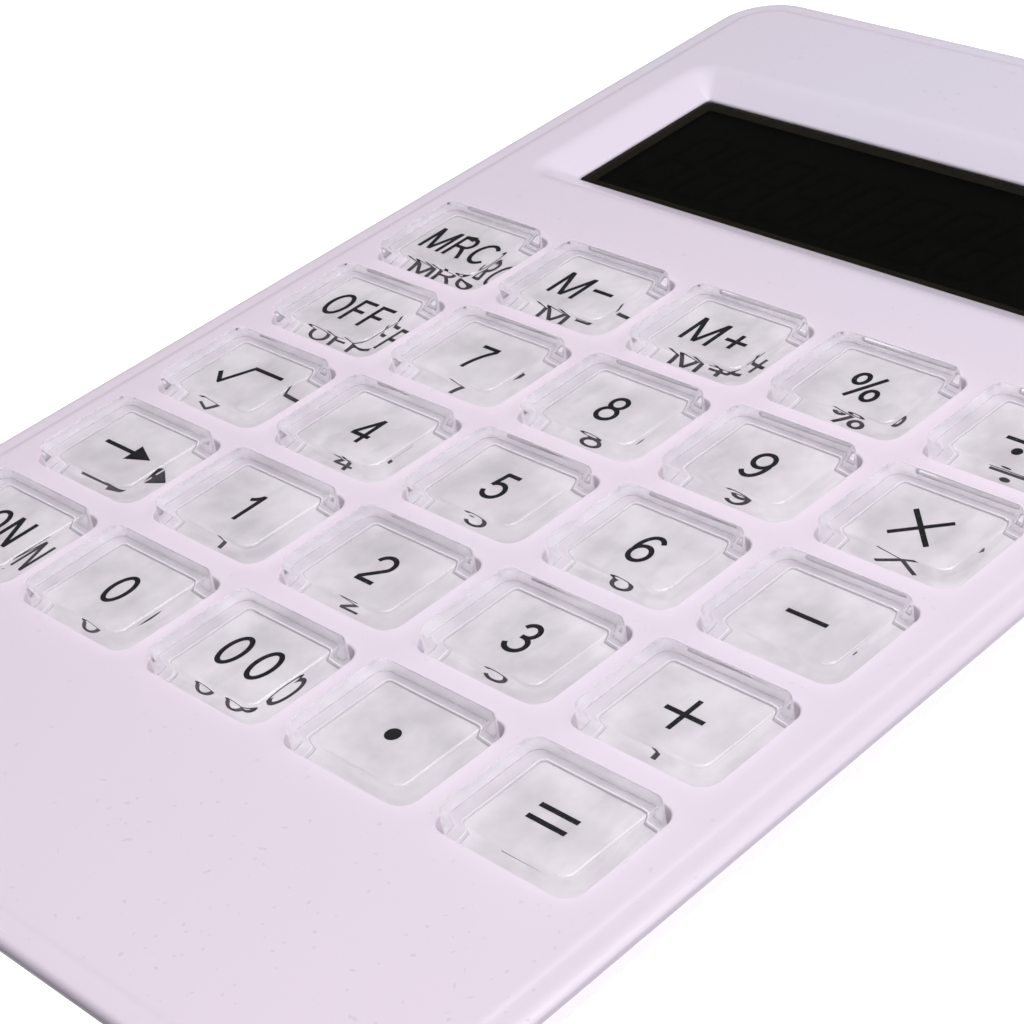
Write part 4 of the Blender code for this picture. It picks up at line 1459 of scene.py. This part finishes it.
def rear_shell():
    shell = Shell()
    profile = [(FLAT_BACK + up, extra, 3.0) for up, extra in (
        (0.0, 0.45), (0.0, 0.32), (0.03, 0.21), (0.12, 0.13), (0.3, 0.1),
    )]
    profile += [(BACK_RIM - 0.1, 0.1, 3.2), (BACK_RIM, 0.16, 3.2)]
    profile += [(BACK_RIM, BACK_WALL - 0.05, 2.0), (BACK_RIM - 0.1, BACK_WALL, 2.0)]
    profile += [(FLOOR + 0.15, BACK_WALL, 2.0), (FLOOR, BACK_WALL + 0.2, 2.0)]
    outer = [shell.ring(leaning_ring(height, extra, radius), height) for height, extra, radius in profile]
    shell.skin(outer)
    under, floor = [outer[0]], [outer[-1]]

    soft = [(0.25, FLAT_BACK)]
    soft += fillet((0.15, FLAT_BACK), (0.0, FLAT_BACK), (0.0, FLAT_BACK + 0.15), 3)
    for name in FEET:
        place = size_of(name)[2]
        section = [(FOOT_WELL + grow, height) for grow, height in soft]
        section += [(FOOT_WELL, FOOT_WELL_TOP - 0.05), (FOOT_WELL - 0.05, FOOT_WELL_TOP)]
        low, high = shell.sweep(lambda radius: circle(radius, place), section)
        under.append(low)
        shell.close(high)
    for name in CASE_SCREWS:
        place = size_of(name)[2]
        section = [(SINK + grow, height) for grow, height in soft]
        section += [(SINK, SINK_TOP), (SHANK_HOLE, SINK_TOP)]
        section += [(SHANK_HOLE, POST_TOP - 0.05), (SHANK_HOLE + 0.1, POST_TOP)]
        section += [(POST - 0.15, POST_TOP), (POST, POST_TOP - 0.15), (POST, FLOOR)]
        low, high = shell.sweep(lambda radius: circle(radius, place, 40), section)
        under.append(low)
        floor.append(high)
    shell.fill(under)
    shell.fill(floor)
    for side in (-1, 1):
        add_cell_wall(shell, side)
        add_lip(shell, side)
    return carved(shell.object("rear_shell", PLASTIC), door_cutter())


rear = settle(rear_shell(), "case", "case_white", "back_cover")
print("rear shell:", len(rear.data.polygons), "faces")

# %% [markdown]
# ### Battery cap
#
# A disc with a slot for a coin, a ring inside that holds the cell, and three tabs that catch behind
# the rear shell. Short ribs round its face give a fingertip some grip.

# %% Battery cap
RING_INSIDE = 6.3
DISC_TOP = FLAT_BACK + 0.8
TABS_AT = (90, 210, 330)
TAB_ANGLE = 26.0
TAB_BOTTOM = FLOOR + GAP
COIN_SLOT = (10.0, 1.6, 0.4)
RIBS = 36
RIB_ENDS = (5.75, 6.75)


def add_tab(shell, middle, top):
    turns = [math.radians(middle + TAB_ANGLE * (step / 8 - 0.5)) for step in range(9)]
    outline = []
    for radius, way in ((TAB_RADIUS, 1), (CAP_RADIUS - 0.4, -1)):
        for turn in turns[::way]:
            x, y = radius * math.cos(turn), radius * math.sin(turn)
            outline.append((CELL_CENTRE[0] + x, CELL_CENTRE[1] + y))
    low, high = shell.sweep(lambda grow: outline, ((0.0, TAB_BOTTOM), (0.0, top - 0.02)))
    shell.fill([low])
    shell.fill([high])


def battery_cap():
    shell = Shell()
    low, edge, hole, top = FLAT_BACK, CAP_RADIUS, RING_INSIDE, size_of("battery_cap")[4]
    section = [(edge - 0.5, low)] + fillet((edge - 0.25, low), (edge, low), (edge, low + 0.25), 5)
    section += fillet((edge, top - 0.1), (edge, top), (edge - 0.1, top), 2)
    section += fillet((hole + 0.1, top), (hole, top), (hole, top - 0.1), 2)
    section += fillet((hole, DISC_TOP + 0.2), (hole, DISC_TOP), (hole - 0.2, DISC_TOP), 3)
    face, inside = shell.sweep(lambda radius: circle(radius, CELL_CENTRE, 96), section)
    shell.close(inside)
    slot_length, slot_width, slot_depth = COIN_SLOT

    def slot(grow):
        return rectangle(slot_length + 2 * grow, slot_width + 2 * grow, 0.78 + grow, CELL_CENTRE)

    deep = low + slot_depth
    section = [(0.3, low)] + fillet((0.12, low), (0.0, low), (0.0, low + 0.12), 3)
    section += fillet((0.0, deep - 0.1), (0.0, deep), (-0.1, deep), 3)
    mouth, end = shell.sweep(slot, section)
    shell.close(end)
    shell.fill([face, mouth])
    for middle in TABS_AT:
        add_tab(shell, middle, top)
    return shell.object("coin_cap", PLASTIC)


def cap_ribs():
    """Short tapered ribs round the face, left out where they would meet the coin slot's ends."""
    shell = Shell()
    middle = Vector(CELL_CENTRE)
    for step in range(RIBS):
        turn = math.radians(360 * step / RIBS)
        towards = Vector((math.cos(turn), math.sin(turn)))
        if abs(towards.y) < 0.2:
            continue
        near, far = (middle + towards * end for end in RIB_ENDS)
        across = Vector((-towards.y, towards.x))

        def outline(half):
            side = across * half
            return [tuple(p) for p in (near - side, far - side, far + side, near + side)]

        shell.solid(outline, ((0.16, FLAT_BACK + 0.02), (0.072, FLAT_BACK - 0.10)))
    return shell.object("cap_ribs", PLASTIC, 30.0)


settle(battery_cap(), "battery_cap", "case_white", "battery_cap")
settle(cap_ribs(), "battery_cap", "case_white")

# %% [markdown]
# ### Screws and feet
#
# A pan head with a tapered cross recess and a threaded shank. The thread is cut as rings: seen from
# outside nobody can follow the helix, and rings keep the mesh closed. The feet are rubber discs with
# a shallow dish, which is how moulded feet grip.

# %% Screws and feet
def cross(size, arm, place):
    """The twelve corners of a cross, as four arms of equal width."""
    quarter = [(size, arm), (arm, arm), (arm, size)]
    corners = quarter + [(-x, y) for x, y in quarter[::-1]]
    corners += [(-x, -y) for x, y in quarter] + [(x, -y) for x, y in quarter[::-1]]
    return [(place[0] + x, place[1] + y) for x, y in corners]


def screw(name, head, shank, neck):
    _, _, place, low, tip = size_of(name)
    shell = Shell()
    section = [(head - 0.45, low - 0.02)] + fillet((head - 0.3, low), (head, low), (head, low + 0.35), 4)
    section += [(head, neck - 0.05), (head - 0.05, neck), (shank, neck)]
    height = neck + 0.3
    while height < tip - 0.9:
        crest = shank + 0.18
        section += [(shank, height), (crest, height + 0.16), (crest, height + 0.2), (shank, height + 0.36)]
        height += 0.5
    section += [(shank, tip - 0.7), (0.15, tip)]
    face, point = shell.sweep(lambda radius: circle(radius, place, 32), section)
    shell.close(point)
    rings = []
    for reach, arm, up in ((0.62, 0.17, 0.0), (0.60, 0.15, 0.03), (0.46, 0.11, 0.42)):
        rings.append(shell.ring(cross(head * reach, arm, place), low - 0.02 + up))
    shell.skin(rings)
    shell.fill([rings[-1]])
    shell.fill([face, rings[0]])
    return shell.object("fine_" + name, SCREW, 30.0)


for names, head, shank, neck in ((CASE_SCREWS, 1.6, 0.62, 1.6), (BOARD_SCREWS, 1.3, 0.52, 2.4)):
    for name in names:
        settle(screw(name, head, shank, neck), "case", "screw_steel", name)
for name in FEET:
    foot = [(2.1, 0.12), (2.6, 0.10), (2.9, 0.0)] + fillet((3.2, 0.0), (3.5, 0.0), (3.5, 0.3), 5)
    foot += [(3.5, 0.75), (3.45, 0.8)]
    settle(turned("fine_" + name, name, foot, FOOT), "case", "foot_rubber", name)

# %% [markdown]
# ## Stage
#
# A white floor that gives off as much light as it takes to show pure white, so the pale case stands
# free of it; the price is nearly all of its contact shadow. A soft main light stands to the right and
# a little behind, and a wide one hangs overhead. The world adds almost nothing.

# %% Floor and lights
def floor_finish():
    r = Recipe("floor_paper")
    fibre = r.noise(0.8, detail=3.0)
    colour = r.blend(fibre, (0.90, 0.90, 0.905), (0.93, 0.93, 0.935))
    shader = r.principled(Base_Color=colour, Roughness=0.7, Normal=r.bump(fibre * 0.01))
    shader.socket.node.inputs["Emission Color"].default_value = (1.0, 1.0, 1.0, 1.0)
    shader.socket.node.inputs["Emission Strength"].default_value = 1.0
    return r.finish(shader)


def make_floor():
    half = 2.0
    data = bpy.data.meshes.new("floor")
    corners = [(-half, -half, 0), (half, -half, 0), (half, half, 0), (-half, half, 0)]
    data.from_pydata(corners, [], [(0, 1, 2, 3)])
    piece("floor", data, floor_finish())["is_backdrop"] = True


def soft_light(name, azimuth, elevation, distance, size, power):
    """A rectangular lamp that looks at the middle of the calculator."""
    data = bpy.data.lights.new(name, "AREA")
    data.shape = "RECTANGLE"
    data.size, data.size_y = size
    data.energy = power
    lamp = bpy.data.objects.new(name, data)
    bpy.context.scene.collection.objects.link(lamp)
    back = towards_viewer(azimuth, elevation)
    lamp.location = back * distance
    lamp.rotation_mode = "QUATERNION"
    lamp.rotation_quaternion = (-back).to_track_quat("-Z", "Y")


def make_world(strength):
    world = bpy.data.worlds.new("studio")
    world.use_nodes = True
    background = world.node_tree.nodes["Background"]
    background.inputs["Color"].default_value = (1.0, 1.0, 1.0, 1.0)
    background.inputs["Strength"].default_value = strength
    bpy.context.scene.world = world


make_floor()
soft_light("main_light", 105.0, 58.0, 0.45, (0.40, 0.40), 1.5)
soft_light("top_light", 60.0, 80.0, 1.0, (1.1, 1.1), 8.3)
make_world(0.02)
bpy.context.scene.view_settings.view_transform = "Standard"

# %% Record the sizes and finish
visual_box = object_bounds()
for title, box in (("frame", cad_box), ("pieces", visual_box)):
    print(title, "box in mm:", [[round(c / MM, 2) for c in corner] for corner in box])
